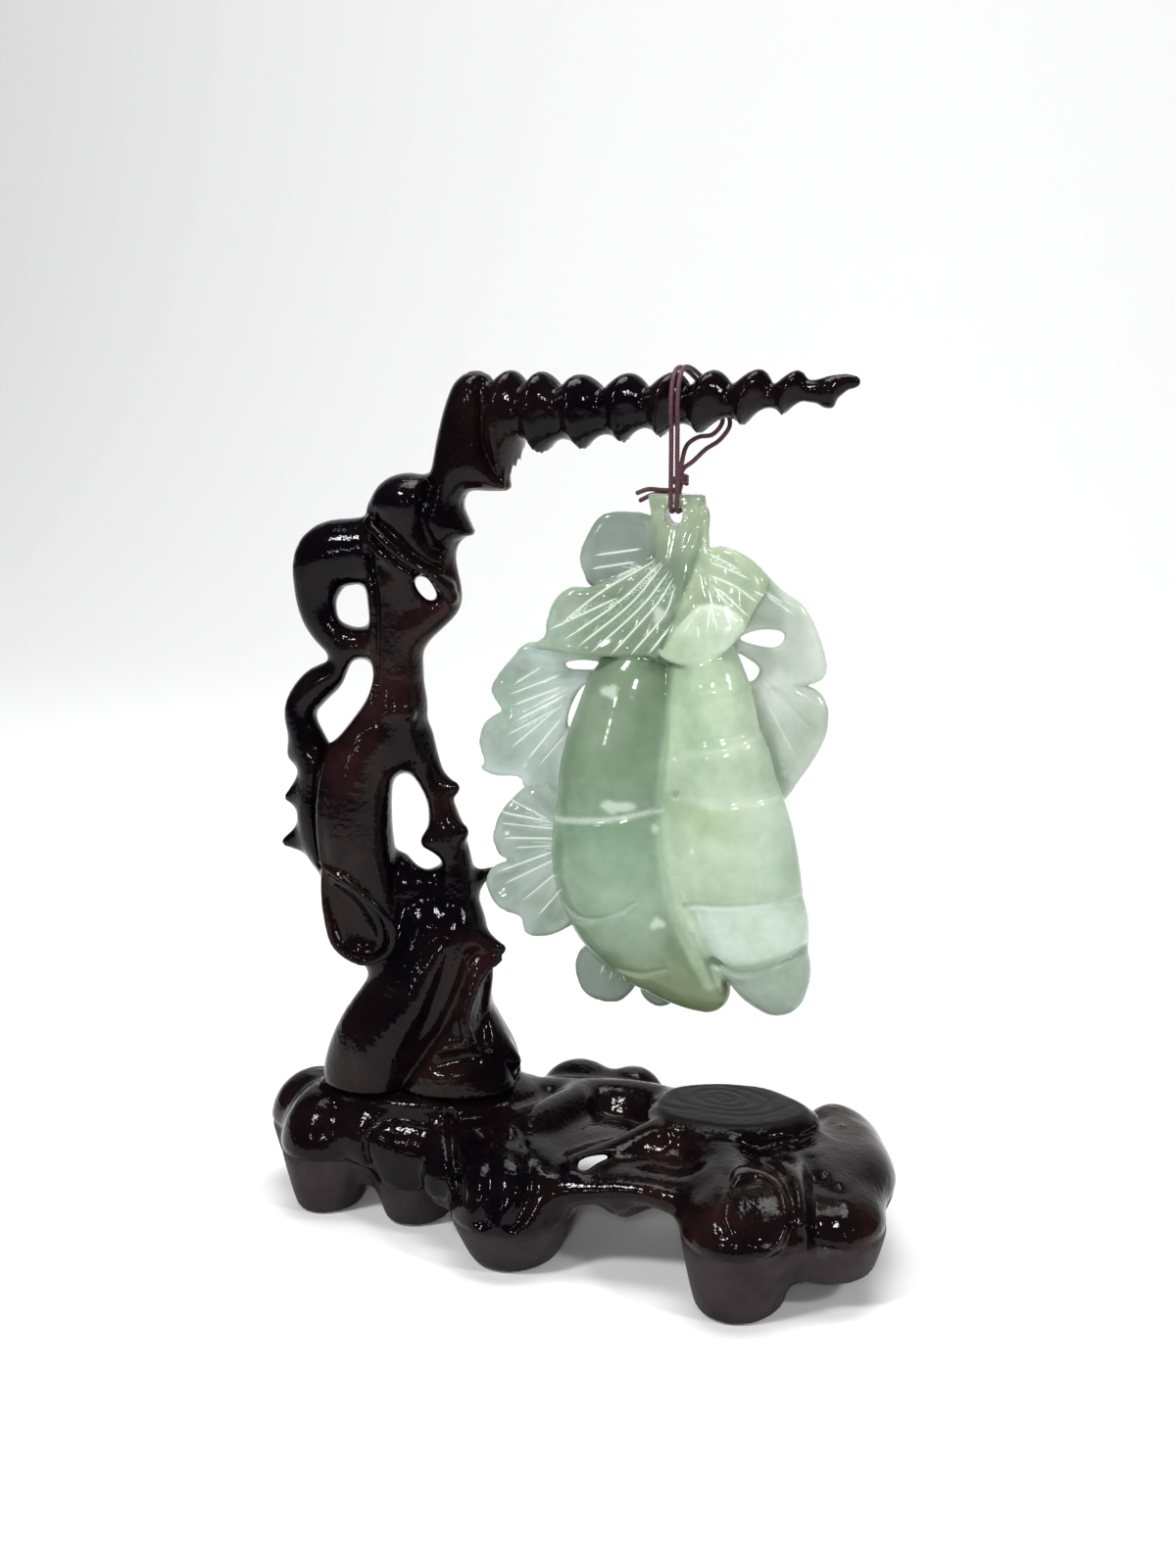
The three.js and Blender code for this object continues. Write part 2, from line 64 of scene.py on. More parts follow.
# The floor is plain pale paper that sweeps up into a wall behind, with no corner between them.
# The lamps are soft boxes in a dim room, and the one at the back lights only the wall.
sweep_width = 3.0
sweep_front = -3.0
sweep_back = 1.1
sweep_radius = 0.8
sweep_top = 3.0
sweep_steps = 16
floor_drop = 0.0005
profile = [(sweep_front, 0.0), (sweep_back, 0.0)]
for step in range(1, sweep_steps + 1):
    turn = math.pi / 2 * step / sweep_steps
    profile.append((sweep_back + sweep_radius * math.sin(turn), sweep_radius * (1 - math.cos(turn))))
profile.append((sweep_back + sweep_radius, sweep_top))
floor_mesh = bpy.data.meshes.new("floor")
floor_mesh.from_pydata(
    [(x, y, z - floor_drop) for y, z in profile for x in (-sweep_width, sweep_width)], [],
    [(2 * k, 2 * k + 1, 2 * k + 3, 2 * k + 2) for k in range(len(profile) - 1)])
floor_mesh.shade_smooth()
floor = bpy.data.objects.new("floor", floor_mesh)
bpy.context.scene.collection.objects.link(floor)
paper = bpy.data.materials.new("pale_paper")
paper.use_nodes = True
paper_shader = paper.node_tree.nodes["Principled BSDF"]
paper_shader.inputs["Base Color"].default_value = (0.88, 0.88, 0.88, 1.0)
paper_shader.inputs["Roughness"].default_value = 0.8
paper_shader.inputs["Specular IOR Level"].default_value = 0.1
floor.data.materials.append(paper)

world = bpy.data.worlds.new("dim_room")
world.use_nodes = True
room_light = world.node_tree.nodes["Background"]
room_light.inputs["Color"].default_value = (0.95, 0.97, 1.0, 1.0)
room_light.inputs["Strength"].default_value = 0.06
bpy.context.scene.world = world
bpy.context.scene.view_settings.view_transform = "Standard"


def soft_box(name, place, aim, size, watts):
    """A square lamp at a place, turned to face the point that it is aimed at."""
    data = bpy.data.lights.new(name, "AREA")
    data.size = size
    data.energy = watts
    lamp = bpy.data.objects.new(name, data)
    bpy.context.scene.collection.objects.link(lamp)
    lamp.location = place
    away = np.array(place) - np.array(aim)
    across = math.hypot(away[0], away[1])
    lamp.rotation_euler = (math.atan2(across, away[2]), 0.0, math.atan2(away[0], -away[1]))


soft_box("key_box", (-0.5, -0.75, 1.15), (0.0, 0.0, 0.15), 0.20, 11.0)
soft_box("side_box", (0.85, -0.45, 0.75), (0.0, 0.0, 0.12), 0.12, 4.0)
soft_box("top_box", (0.1, 0.2, 1.5), (0.0, 0.1, 0.1), 0.7, 6.5)
soft_box("front_box", (0.2, -1.2, 0.62), (0.0, 0.0, 0.15), 0.12, 4.0)
soft_box("low_box", (-0.38, -0.85, 0.42), (0.0, 0.0, 0.18), 0.05, 0.5)
soft_box("wall_box", (0.0, 0.35, 2.4), (0.0, 1.9, 0.6), 1.6, 42.0)

# The hanging cord is one length of twisted burgundy cord, laid from three strands. It goes up behind the arm,
# over it, down in front and through the bore of the stone, and round once more.
# Its two cut ends lie at the left of the stone's top.
cord_thickness = 1.6
cord_strands = 3
cord_twist = 3.4
cord_route = [
    (16.5, -1, 261.2), (20.6, -0.4, 262.6), (25, 1, 262.3), (28.6, 1.9, 262.3), (30.3, 2.4, 263.4),
    (30.6, 2.4, 265.2), (30.7, 2.5, 267), (31, 3.6, 271), (32.2, 6, 276.6), (35.8, 7.5, 279.4),
    (40.6, 9, 280.4), (43.4, 11.2, 285), (40.2, 12.3, 291), (35.2, 9.7, 297.6), (32, 4, 301.4),
    (30.4, -2.5, 302), (29.9, -8.7, 298.6), (29.8, -11.8, 291), (29.9, -11.2, 283), (29.6, -9.2, 272),
    (29.3, -7.6, 262.5), (29.1, -6.4, 258.6), (29, -4.5, 256), (29, 0, 255.7), (29, 4.5, 256),
    (29.1, 6.4, 258.6), (29.9, 5.8, 261.4), (30.6, 4.8, 263.6), (30.6, 4.6, 265.2), (30.7, 4.6, 267.2),
    (31.6, 5.2, 269.4), (34.4, 6.8, 271.6), (38.2, 8.8, 275.4), (42.8, 10.2, 278.6), (45.8, 11.5, 284),
    (42.6, 12.5, 291.2), (37.4, 9.9, 297.8), (34.2, 4, 301.6), (32.5, -2.5, 302.1), (32, -8.7, 298.6),
    (31.9, -11.8, 291), (31.9, -11.2, 283), (31.6, -9.2, 272), (31.4, -7.6, 262.5), (31.2, -6.4, 258.6),
    (31.1, -4.5, 256), (31.1, 0, 255.7), (31.1, 4.5, 256), (31.2, 6.5, 258.1), (30.2, 8.3, 260.2),
    (26, 8.4, 261.2), (20.6, 7, 260.2), (16.4, 5.4, 258.2),
]


def through(points, steps, closed=False):
    """Points on a smooth curve through the given rows, with every column carried along."""
    rows = np.asarray(points, float)
    if closed:
        padded = np.vstack([rows[-1:], rows, rows[:2]])
    else:
        padded = np.vstack([2 * rows[0] - rows[1], rows, 2 * rows[-1] - rows[-2]])
    share = np.linspace(0, 1, steps, endpoint=False)[:, None]
    runs = []
    for a, b, c, d in zip(padded[:-3], padded[1:-2], padded[2:-1], padded[3:]):
        runs.append(0.5 * (2 * b + (c - a) * share + (2 * a - 5 * b + 4 * c - d) * share ** 2
                           + (3 * b - a - 3 * c + d) * share ** 3))
    if not closed:
        runs.append(rows[-1:])
    return np.vstack(runs)


def evenly(points, step):
    """The same curve with points at an even distance."""
    along = np.concatenate([[0], np.cumsum(np.linalg.norm(np.diff(points, axis=0), axis=1))])
    places = np.linspace(0, along[-1], max(2, int(round(along[-1] / step))))
    return np.stack([np.interp(places, along, points[:, k]) for k in range(points.shape[1])], axis=1)


def in_frame(points):
    """Millimetres on the drawing to metres in the frame."""
    return (np.asarray(points, float) + drawing_origin) / 1000


def twisted_cord(name, route, step=0.35, sides=18):
    """A tube with the strands' rounds running helically along it, closed at both ends."""
    line = evenly(through(route, 12), step)
    tangents = np.gradient(line, axis=0)
    tangents /= np.linalg.norm(tangents, axis=1, keepdims=True)
    side = np.cross(tangents[0], (0.0, 0.0, 1.0))
    side /= np.linalg.norm(side)
    angles = np.arange(sides) * 2 * math.pi / sides
    vertices = []
    for row, (centre, tangent) in enumerate(zip(line, tangents)):
        side = side - tangent * np.dot(side, tangent)
        side /= np.linalg.norm(side)
        other = np.cross(tangent, side)
        lay = angles - 2 * math.pi * row * step / cord_twist
        radius = cord_thickness / 2 * (0.80 + 0.22 * np.abs(np.cos(cord_strands * lay / 2)) ** 0.8)
        if row in (0, len(line) - 1):
            radius = radius * 0.72
        round_section = np.cos(angles)[:, None] * side + np.sin(angles)[:, None] * other
        vertices.append(centre + radius[:, None] * round_section)
    vertices = np.vstack(vertices + [line[0] - 0.2 * tangents[0], line[-1] + 0.2 * tangents[-1]])
    rows = len(line)
    faces = []
    for row in range(rows - 1):
        for k in range(sides):
            n = (k + 1) % sides
            faces.append((row * sides + k, row * sides + n, (row + 1) * sides + n, (row + 1) * sides + k))
    for k in range(sides):
        n = (k + 1) % sides
        faces.append((rows * sides, n, k))
        faces.append((rows * sides + 1, (rows - 1) * sides + k, (rows - 1) * sides + n))
    mesh = bpy.data.meshes.new(name)
    mesh.from_pydata(in_frame(vertices).tolist(), [], faces)
    mesh.shade_smooth()
    piece = bpy.data.objects.new(name, mesh)
    bpy.context.scene.collection.objects.link(piece)
    return piece, line


def with_nodes(name):
    """A new material, its node tree and its Principled BSDF."""
    finish = bpy.data.materials.new(name)
    finish.use_nodes = True
    return finish, finish.node_tree, finish.node_tree.nodes["Principled BSDF"]


def feed(tree, socket, source):
    """Sets an input to a value, or links it to another node's output."""
    if isinstance(source, (float, tuple)):
        socket.default_value = source
    else:
        tree.links.new(source, socket)


def dress(tree, shader, inputs):
    """Sets or links several of a shader's inputs."""
    for name, source in inputs.items():
        feed(tree, shader.inputs[name], source)


def noise(tree, scale, detail=3.0, roughness=0.5):
    """A noise texture on the piece's own coordinates."""
    place = tree.nodes.new("ShaderNodeTexCoord")
    texture = tree.nodes.new("ShaderNodeTexNoise")
    texture.inputs["Scale"].default_value = scale
    texture.inputs["Detail"].default_value = detail
    texture.inputs["Roughness"].default_value = roughness
    tree.links.new(place.outputs["Object"], texture.inputs["Vector"])
    return texture


def ramp(tree, source, stops):
    """A colour ramp over a value, with its stops as (place, colour)."""
    node = tree.nodes.new("ShaderNodeValToRGB")
    elements = node.color_ramp.elements
    while len(elements) < len(stops):
        elements.new(0.5)
    for element, (place, colour) in zip(elements, stops):
        element.position = place
        element.color = (*colour, 1.0)
    tree.links.new(source, node.inputs["Fac"])
    return node


def bump(tree, height, strength, distance):
    """A bump node that feeds from a height."""
    node = tree.nodes.new("ShaderNodeBump")
    node.inputs["Strength"].default_value = strength
    node.inputs["Distance"].default_value = distance
    tree.links.new(height, node.inputs["Height"])
    return node


dark_burgundy = (0.022, 0.004, 0.008)
light_burgundy = (0.095, 0.020, 0.032)
burgundy, tree, shader = with_nodes("burgundy_cord")
shade = noise(tree, 900.0, 2.0)
colours = ramp(tree, shade.outputs["Fac"], [(0.3, dark_burgundy), (0.7, light_burgundy)])
fibres = bump(tree, noise(tree, 2600.0, 2.0).outputs["Fac"], 0.5, 0.0002)
dress(tree, shader, {
    "Base Color": colours.outputs["Color"],
    "Normal": fibres.outputs["Normal"],
    "Roughness": 0.5,
    "Sheen Weight": 0.12,
    "Sheen Roughness": 0.4,
})

cord, cord_line = twisted_cord("hanging_cord_twisted", cord_route)
cord.data.materials.append(burgundy)

# The knot is the same cord, wound a little over twice round the two strands behind the front ones.
# It is pulled tight just above the neck of the stone.
knot_middle = (30.6, 3.5, 265.6)
knot_turns = 2.4
knot_half_width = 2.1
knot_half_depth = 3.1
knot_rise = 1.3
knot_steps = 25
knot_route = []
for step in range(knot_steps + 1):
    turn = 2 * math.pi * knot_turns * step / knot_steps
    knot_route.append((
        knot_middle[0] + knot_half_width * math.cos(turn),
        knot_middle[1] + knot_half_depth * math.sin(turn),
        knot_middle[2] + knot_rise * (step / knot_steps - 0.5) * 2,
    ))
knot, _ = twisted_cord("cord_knot_wound", knot_route)
knot.data.materials.append(burgundy)
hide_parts("cord_knot")
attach(knot, "root")

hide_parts("hanging_cord")
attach(cord, "root")

# The stand's upright is one piece of hardwood, carved as a root: a trunk with holes, a hollow and spikes,
# and an arm like a ridged horn at its top. It is lacquered nearly black and seated on the base.
# Limbs are melted together, with creases cut in. A row is x, z, half width, y and half depth.
upright_voxel = 0.95


def blank(low, high, voxel):
    """A block to carve. The field holds how far each point lies outside the carving."""
    axes = [np.arange(a, b, voxel, dtype=np.float32) for a, b in zip(low, high)]
    field = np.full([len(axis) for axis in axes], 25.0, np.float32)
    return {"axes": axes, "voxel": voxel, "low": np.array(low), "field": field}


def window(block, low, high):
    """The part of a block between two corners: its slices, and its x, y and z."""
    cuts = tuple(slice(int(np.searchsorted(axis, a)), int(np.searchsorted(axis, b)))
                 for axis, a, b in zip(block["axes"], low, high))
    x, y, z = (axis[cut] for axis, cut in zip(block["axes"], cuts))
    return cuts, x[:, None, None], y[None, :, None], z[None, None, :]


def limb_field(block, rows, reach):
    """How far points lie outside a limb, near it."""
    line = through(rows, 5)
    centre = line[:, [0, 3, 1]]
    size = np.maximum(line[:, [2, 4]], 0.4)
    margin = np.maximum(size[:, 0], size[:, 1])[:, None] + reach
    cuts, x, y, z = window(block, (centre - margin).min(axis=0), (centre + margin).max(axis=0))
    field = np.full((x.size, y.size, z.size), 25.0, np.float32)
    part = {"axes": [x.ravel(), y.ravel(), z.ravel()], "field": field}
    for a, b, wide, next_wide in zip(centre[:-1], centre[1:], size[:-1], size[1:]):
        near = max(wide.max(), next_wide.max()) + reach
        inner, px, py, pz = window(part, np.minimum(a, b) - near, np.maximum(a, b) + near)
        squash = (wide[0] + next_wide[0]) / (wide[1] + next_wide[1])
        px, py, pz = px - a[0], (py - a[1]) * squash, pz - a[2]
        dx, dy, dz = b[0] - a[0], (b[1] - a[1]) * squash, b[2] - a[2]
        along = np.clip((px * dx + py * dy + pz * dz) / max(dx * dx + dy * dy + dz * dz, 1e-6), 0, 1)
        gap = np.sqrt((px - along * dx) ** 2 + (py - along * dy) ** 2 + (pz - along * dz) ** 2)
        gap -= wide[0] + along * (next_wide[0] - wide[0])
        field[inner] = np.minimum(field[inner], gap / max(1.0, squash * 0.8))
    return cuts, field


def melt(a, b, blend):
    """The lower of two fields, with the crease between them rounded over the blend."""
    share = np.clip(0.5 + 0.5 * (b - a) / blend, 0, 1)
    return b * (1 - share) + a * share - blend * share * (1 - share)


def grow(block, rows, blend=3.0):
    """Adds a limb to the carving."""
    cuts, field = limb_field(block, rows, blend + 3)
    block["field"][cuts] = melt(block["field"][cuts], field, blend)


def gouge(block, rows, blend=1.5):
    """Cuts a limb's shape out of the carving."""
    cuts, field = limb_field(block, rows, blend + 3)
    block["field"][cuts] = -melt(-block["field"][cuts], field, blend)


def surface(block, name):
    """The carving's surface as a mesh, and its vertices in drawing millimetres."""
    voxel = block["voxel"]
    grid = openvdb.FloatGrid(3 * voxel)
    grid.copyFromArray(np.clip(block["field"], -3 * voxel, 3 * voxel))
    points, quads = grid.convertToQuads(isovalue=0.0)
    points = np.asarray(points) * voxel + block["low"]
    quads = np.asarray(quads)
    a, b, c = points[quads[:, 0]], points[quads[:, 1]], points[quads[:, 2]]
    if np.einsum("ij,ij->i", a, np.cross(b, c)).sum() < 0:
        quads = quads[:, ::-1]
    mesh = bpy.data.meshes.new(name)
    mesh.from_pydata(in_frame(points).tolist(), [], quads.tolist())
    mesh.shade_smooth()
    piece = bpy.data.objects.new(name, mesh)
    bpy.context.scene.collection.objects.link(piece)
    return piece, points


def paint(piece, name, values):
    """A value at each vertex, for a material to read."""
    layer = piece.data.attributes.new(name, "FLOAT", "POINT")
    layer.data.foreach_set("value", np.asarray(values, np.float32))


trunk_limbs = [
    [(-58, 106, 11, -2, 11), (-62, 92, 14, -3, 14), (-67, 78, 16, -4, 15), (-74, 64, 18, -5, 16),
     (-79, 52, 18, -4, 16), (-79, 44, 18, -4, 16)],
    [(-47, 106, 9, 0, 11), (-46, 92, 11, -1, 12), (-49, 78, 12, -1, 13), (-51, 66, 14, -1, 14),
     (-50, 52, 20, -2, 16), (-48, 44, 22, -2, 16)],
    [(-60, 46, 34, 10, 18), (-60, 60, 27, 10, 16), (-60, 80, 19, 8, 14), (-60, 100, 16, 6, 12),
     (-64, 119, 14, 3, 11)],
    [(-68, 186, 9, -2, 10), (-75, 175, 12, -4, 12), (-81, 164, 13.5, -5, 14), (-83, 148, 13.5, -6, 15),
     (-82, 134, 13, -6, 15), (-80, 120, 13, -5, 14), (-78, 108, 13, -4, 13), (-75, 99, 9, -3, 11)],
    [(-86, 128, 6.5, -8, 8), (-83, 116, 9, -8, 9), (-80, 106, 9.5, -7, 10)],
    [(-60, 246, 13, 0, 12), (-67, 232, 11, 0, 12), (-68, 215, 9.5, -1, 11), (-68, 198, 9.5, -1, 11),
     (-68, 184, 10, -1, 11), (-68, 172, 10, -1, 11)],
    [(-68, 241, 11, 2, 10), (-82, 239.5, 11.5, 2, 11), (-92.5, 237, 11.5, 2, 11), (-96.5, 227, 8.5, 2, 9),
     (-94.5, 216, 7.5, 2, 8), (-87, 208, 7, 2, 8), (-76, 207, 8, 2, 8)],
    [(-82, 206, 5, 2, 7), (-89.5, 197.5, 5, 2, 7), (-98, 191.5, 6.5, 2, 8), (-104, 183, 6, 2, 8),
     (-102, 172, 6, 2, 9), (-98, 160, 7.5, 2, 10), (-98, 146, 8.5, 2, 11), (-96, 134, 8, 2, 11),
     (-86, 122, 8, 2, 10)],
    [(-63, 173, 7, 2, 8), (-58, 161, 5.5, 2, 7), (-54, 151, 5, 2, 7), (-51.5, 141, 6, 2, 8),
     (-48.5, 131, 5.5, 2, 8), (-48, 120, 7, 2, 9), (-47, 107, 7.5, 2, 10), (-47, 94, 9, 2, 10),
     (-48, 80, 10, 3, 12)],
    [(-50, 262, 5, 0, 10), (-53, 250, 6, 0, 10), (-57, 240, 7.5, 0, 11), (-62, 232, 9.5, 0, 11)],
    [(-70, 254, 7, 0, 8), (-64, 257, 9.5, -2, 12), (-58, 256, 9.5, -3, 12), (-52, 248, 7, -3, 10)],
    [(-54, 240, 5, 1, 8), (-49.5, 231, 4, 1, 6), (-49.3, 222.5, 4.2, 1, 6), (-55.5, 216.5, 4.5, 1, 6),
     (-63, 212.5, 6, 1, 8)],
    [(-63, 233, 5, 0, 6), (-58, 227, 5, 0, 5), (-57, 220, 5, 0, 5), (-62, 214, 5, 0, 6)],
]
trunk_ridges = [
    [(-50, 103, 3, -10, 4), (-56, 92, 5, -13.5, 4), (-63, 78, 6.5, -16, 5), (-74, 62, 8, -17, 5)],
    [(-33, 97, 3, -3, 3), (-39, 86, 3, -9, 3), (-41, 75, 3, -12, 3), (-38, 66, 3, -12, 3)],
    [(-47, 229, 1.8, -5, 2.2), (-61, 239, 2.2, -11.5, 2.4), (-68, 245, 2.2, -11, 2.4),
     (-74, 250, 2.2, -7, 2.4)],
    [(-73.9, 249.7, 2.2, -7, 2.6), (-67.6, 244.8, 2.4, -11.5, 2.6), (-60.7, 239.4, 2.4, -12.5, 2.6),
     (-51.5, 232.3, 2.2, -9, 2.6), (-46.5, 225, 2, -4, 2.6)],
    [(-74.5, 244, 1.6, -8, 2), (-68, 239.5, 1.8, -11.5, 2), (-60.5, 234.5, 1.8, -11.5, 2),
     (-54, 229, 1.6, -8, 2)],
    [(-72.5, 181, 1.2, -12.5, 1.8), (-80, 177, 1.4, -13.5, 1.8), (-87.5, 169.5, 1.4, -13.5, 1.8),
     (-91, 158, 1.4, -15, 1.8), (-92, 146, 1.4, -16, 1.8), (-91.5, 133, 1.4, -16, 1.8)],
    [(-73.8, 183.6, 1.4, -11, 1.6), (-66.6, 185.6, 1.6, -12, 1.6), (-60, 185.3, 1.4, -10, 1.6)],
    [(-64, 56, 1.4, -19.5, 1.8), (-53, 64.5, 1.8, -17.5, 2.2), (-42, 67.5, 1.8, -15, 2.2),
     (-33, 65, 1.4, -12.5, 1.8)],
]
trunk_spikes = [
    [(-98, 157, 7, 2, 6), (-104, 153, 5, 1, 4.5), (-109.2, 151.3, 1.8, 0, 1.8)],
    [(-96, 140, 7, 2, 6), (-104, 136.5, 5, 1, 4.5), (-110.6, 134.8, 1.9, 0, 1.9)],
    [(-101, 174, 6, 2, 5), (-105, 168.5, 4.2, 1, 4), (-107.6, 166.4, 1.9, 1, 1.9)],
    [(-48, 120, 5, 4, 5), (-42, 123, 3, 7, 3), (-37.5, 125.5, 1.3, 10, 1.3)],
    [(-46, 98, 8, 0, 7), (-38, 100, 4.5, 0, 4.5), (-31.2, 99.6, 1.6, 0, 1.6)],
    [(-54, 157, 4, 2, 4), (-49, 157, 2.4, 2, 2.4)],
    [(-53, 138, 5, 0, 5), (-57, 138, 3.6, -3, 4), (-60, 137.5, 2.4, -4, 3)],
    [(-51, 142, 4, 0, 4), (-45.5, 142, 2.6, -1, 2.6)],
    [(-45, 66, 12, 2, 12), (-36, 61, 7, 2, 7), (-27.5, 57, 2.4, 2, 2.4)],
]
spoon_rim = [
    (-90.5, 131, 1.2, -16.5, 1.8), (-84.5, 129, 1.3, -20.3, 1.8), (-77, 124.7, 1.4, -22, 1.8),
    (-69.8, 118, 1.5, -21, 1.8), (-65.8, 110, 1.6, -18.5, 1.8), (-67.5, 102, 1.6, -17.3, 1.8),
    (-77, 97.3, 1.6, -17.6, 1.8), (-86.5, 102.5, 1.6, -18, 1.8), (-89.8, 113, 1.4, -18, 1.8),
    (-91, 124, 1.3, -17, 1.8), (-90.5, 131, 1.2, -16.5, 1.8),
]
spoon_hollow = [
    (-86, 123, 2.5, -21, 4), (-81.5, 116, 6.5, -22, 6.5), (-78, 107.5, 9, -22, 8.5),
    (-77, 105, 8, -21, 7.5),
]
eye_hollow = [
    (-60, 57, 2, -21, 3), (-51, 60.5, 4, -20, 5), (-42, 62.5, 4, -17, 5), (-35, 63, 2, -14, 3),
]
trunk_holes = [
    [(-89.2, 222.2), (-85.8, 225.2), (-80.4, 226.1), (-78.8, 219.1), (-79.3, 214.3), (-83.7, 214.0),
     (-88.4, 216.0)],
    [(-86.0, 197.6), (-83.5, 201.5), (-78.7, 201.6), (-77.0, 196.8), (-79.6, 189.2), (-85.9, 179.6),
     (-91.5, 173.5), (-94.5, 174.5), (-97.4, 180.9), (-94.2, 185.7), (-88.6, 191.1)],
    [(-60.5, 231.0), (-57.3, 231.4), (-54.8, 228.8), (-53.4, 224.4), (-56.6, 223.8), (-60.2, 227.6)],
    [(-69.6, 157.9), (-65.3, 161.4), (-61.2, 157.7), (-58.4, 151.3), (-59.3, 144.2), (-61.0, 140.5),
     (-60.2, 135.7), (-56.8, 133.0), (-53.9, 130.1), (-58.2, 127.5), (-62.9, 129.6), (-66.5, 135.4),
     (-69.2, 146.0)],
]
# Each crease: its line in the front view, its width and its depth.
trunk_creases = [
    ([(-40, 99), (-44, 87), (-50.5, 72), (-60, 58), (-66, 50)], 2.2, 2.8),
    ([(-32.5, 98), (-36.5, 88), (-38.5, 76), (-37, 67)], 2.0, 2.0),
    ([(-74.2, 240), (-71.6, 228), (-71.1, 218.2), (-71.9, 201.0), (-73, 189.4)], 1.2, 2.2),
    ([(-71.5, 251), (-65.5, 247.5), (-58.5, 241.5), (-50, 235)], 0.9, 1.4),
    ([(-72.5, 246), (-66.5, 241.5), (-60, 236.5), (-53, 231)], 0.9, 1.4),
    ([(-52.5, 263), (-54.5, 252), (-51, 242)], 2.4, 3.0),
    ([(-35.2, 297), (-34.5, 290), (-34.6, 280), (-32.5, 272), (-30, 266)], 1.3, 2.6),
    ([(-93.5, 170), (-96, 158), (-96, 144), (-94.5, 130)], 1.4, 1.8),
]
wing_depth = 23.0
wing = [
    (-38.5, 301), (-44.7, 297.8), (-48.6, 289.7), (-51.6, 278.8), (-53.7, 268.8), (-56.5, 259.6),
    (-58, 250), (-56, 240), (-50, 240), (-45.5, 244.1), (-39.8, 246.4), (-40.6, 249.5), (-43.2, 256.2),
    (-40.6, 260.8), (-33, 261.0), (-27.2, 261.6), (-26.8, 265), (-27.6, 272), (-28.5, 284),
    (-32.5, 297.8),
]


def squared_gap(line, x, z):
    """The square of how far points of the front view lie from a line of points."""
    nearest = np.full(np.broadcast(x, z).shape, 1e6, np.float32)
    for (ax, az), (cx, cz) in zip(line[:-1], line[1:]):
        dx, dz = cx - ax, cz - az
        along = np.clip(((x - ax) * dx + (z - az) * dz) / max(dx * dx + dz * dz, 1e-9), 0, 1)
        nearest = np.minimum(nearest, (x - ax - along * dx) ** 2 + (z - az - along * dz) ** 2)
    return nearest


def depth_inside(outline, x, z):
    """How far inside a closed outline in the front view each point lies, below zero outside."""
    ring = through(outline, 6, closed=True)
    ring = np.vstack([ring, ring[:1]])
    nearest = squared_gap(ring, x, z)
    crossings = np.zeros(nearest.shape, bool)
    for (ax, az), (cx, cz) in zip(ring[:-1], ring[1:]):
        if az != cz:
            crossings ^= ((z > az) != (z > cz)) & (x < ax + (z - az) * (cx - ax) / (cz - az))
    return np.where(crossings, 1, -1) * np.sqrt(nearest)


def framed(block, outline, margin, near, far):
    """The part of a block round an outline in the front view."""
    points = np.array(outline, float)
    low = (points[:, 0].min() - margin, near, points[:, 1].min() - margin)
    high = (points[:, 0].max() + margin, far, points[:, 1].max() + margin)
    return window(block, low, high)


eye = (camera_distance * math.sin(camera_turn), -camera_distance * math.cos(camera_turn), camera_height)


def as_seen(x, y, z, plane):
    """Where the lines of sight through points cross a plane at one depth."""
    reach = (plane - eye[1]) / (y - eye[1])
    return eye[0] + (x - eye[0]) * reach, eye[2] + (z - eye[2]) * reach


def pierce(block, outline, blend=3.0, plane=0, near=-90, far=90):
    """Cuts a hole through along the lines of sight, so that its walls stay out of sight."""
    cuts, x, y, z = framed(block, outline, 16, near, far)
    depth = depth_inside(outline, *as_seen(x, y, z, plane)).astype(np.float32)
    block["field"][cuts] = -melt(-block["field"][cuts], -depth, blend)


def engrave(block, line, width, depth, near=-90, far=0, plane=None):
    """Cuts a groove along a line of the front view, or raises a ridge where the depth is below zero.

    With a plane, the line is drawn as the camera sees it at that depth.
    """
    margin = 3 * width if plane is None else 3 * width + 22
    cuts, x, y, z = framed(block, line, margin, near, far)
    fade = np.clip((far - y) / 3, 0, 1)
    if plane is not None:
        x, z = as_seen(x, y, z, plane)
    nearest = squared_gap(through(line, 5), x, z)
    block["field"][cuts] += depth * np.exp(-nearest / width ** 2) * fade


upright = blank((-118.0, -27.0, 44.0), (94.0, 33.0, 305.0), upright_voxel)
for rows in trunk_limbs:
    grow(upright, rows, blend=5.0)
for rows in trunk_spikes:
    grow(upright, rows, blend=4.0)

# The wing is the broad first ridge of the arm, which comes down in front of the trunk's head.
cuts, x, y, z = framed(upright, wing, 8, -20, 20)
depth = depth_inside(wing, x, z)
half = wing_depth / 2 * np.sqrt(np.clip(1 - (1 - np.clip(depth / 9.0, 0, 1)) ** 2, 0.0, 1))
gap = np.maximum((np.abs(y) - half) * 0.75, -depth)
upright["field"][cuts] = melt(upright["field"][cuts], gap.astype(np.float32), 3.0)

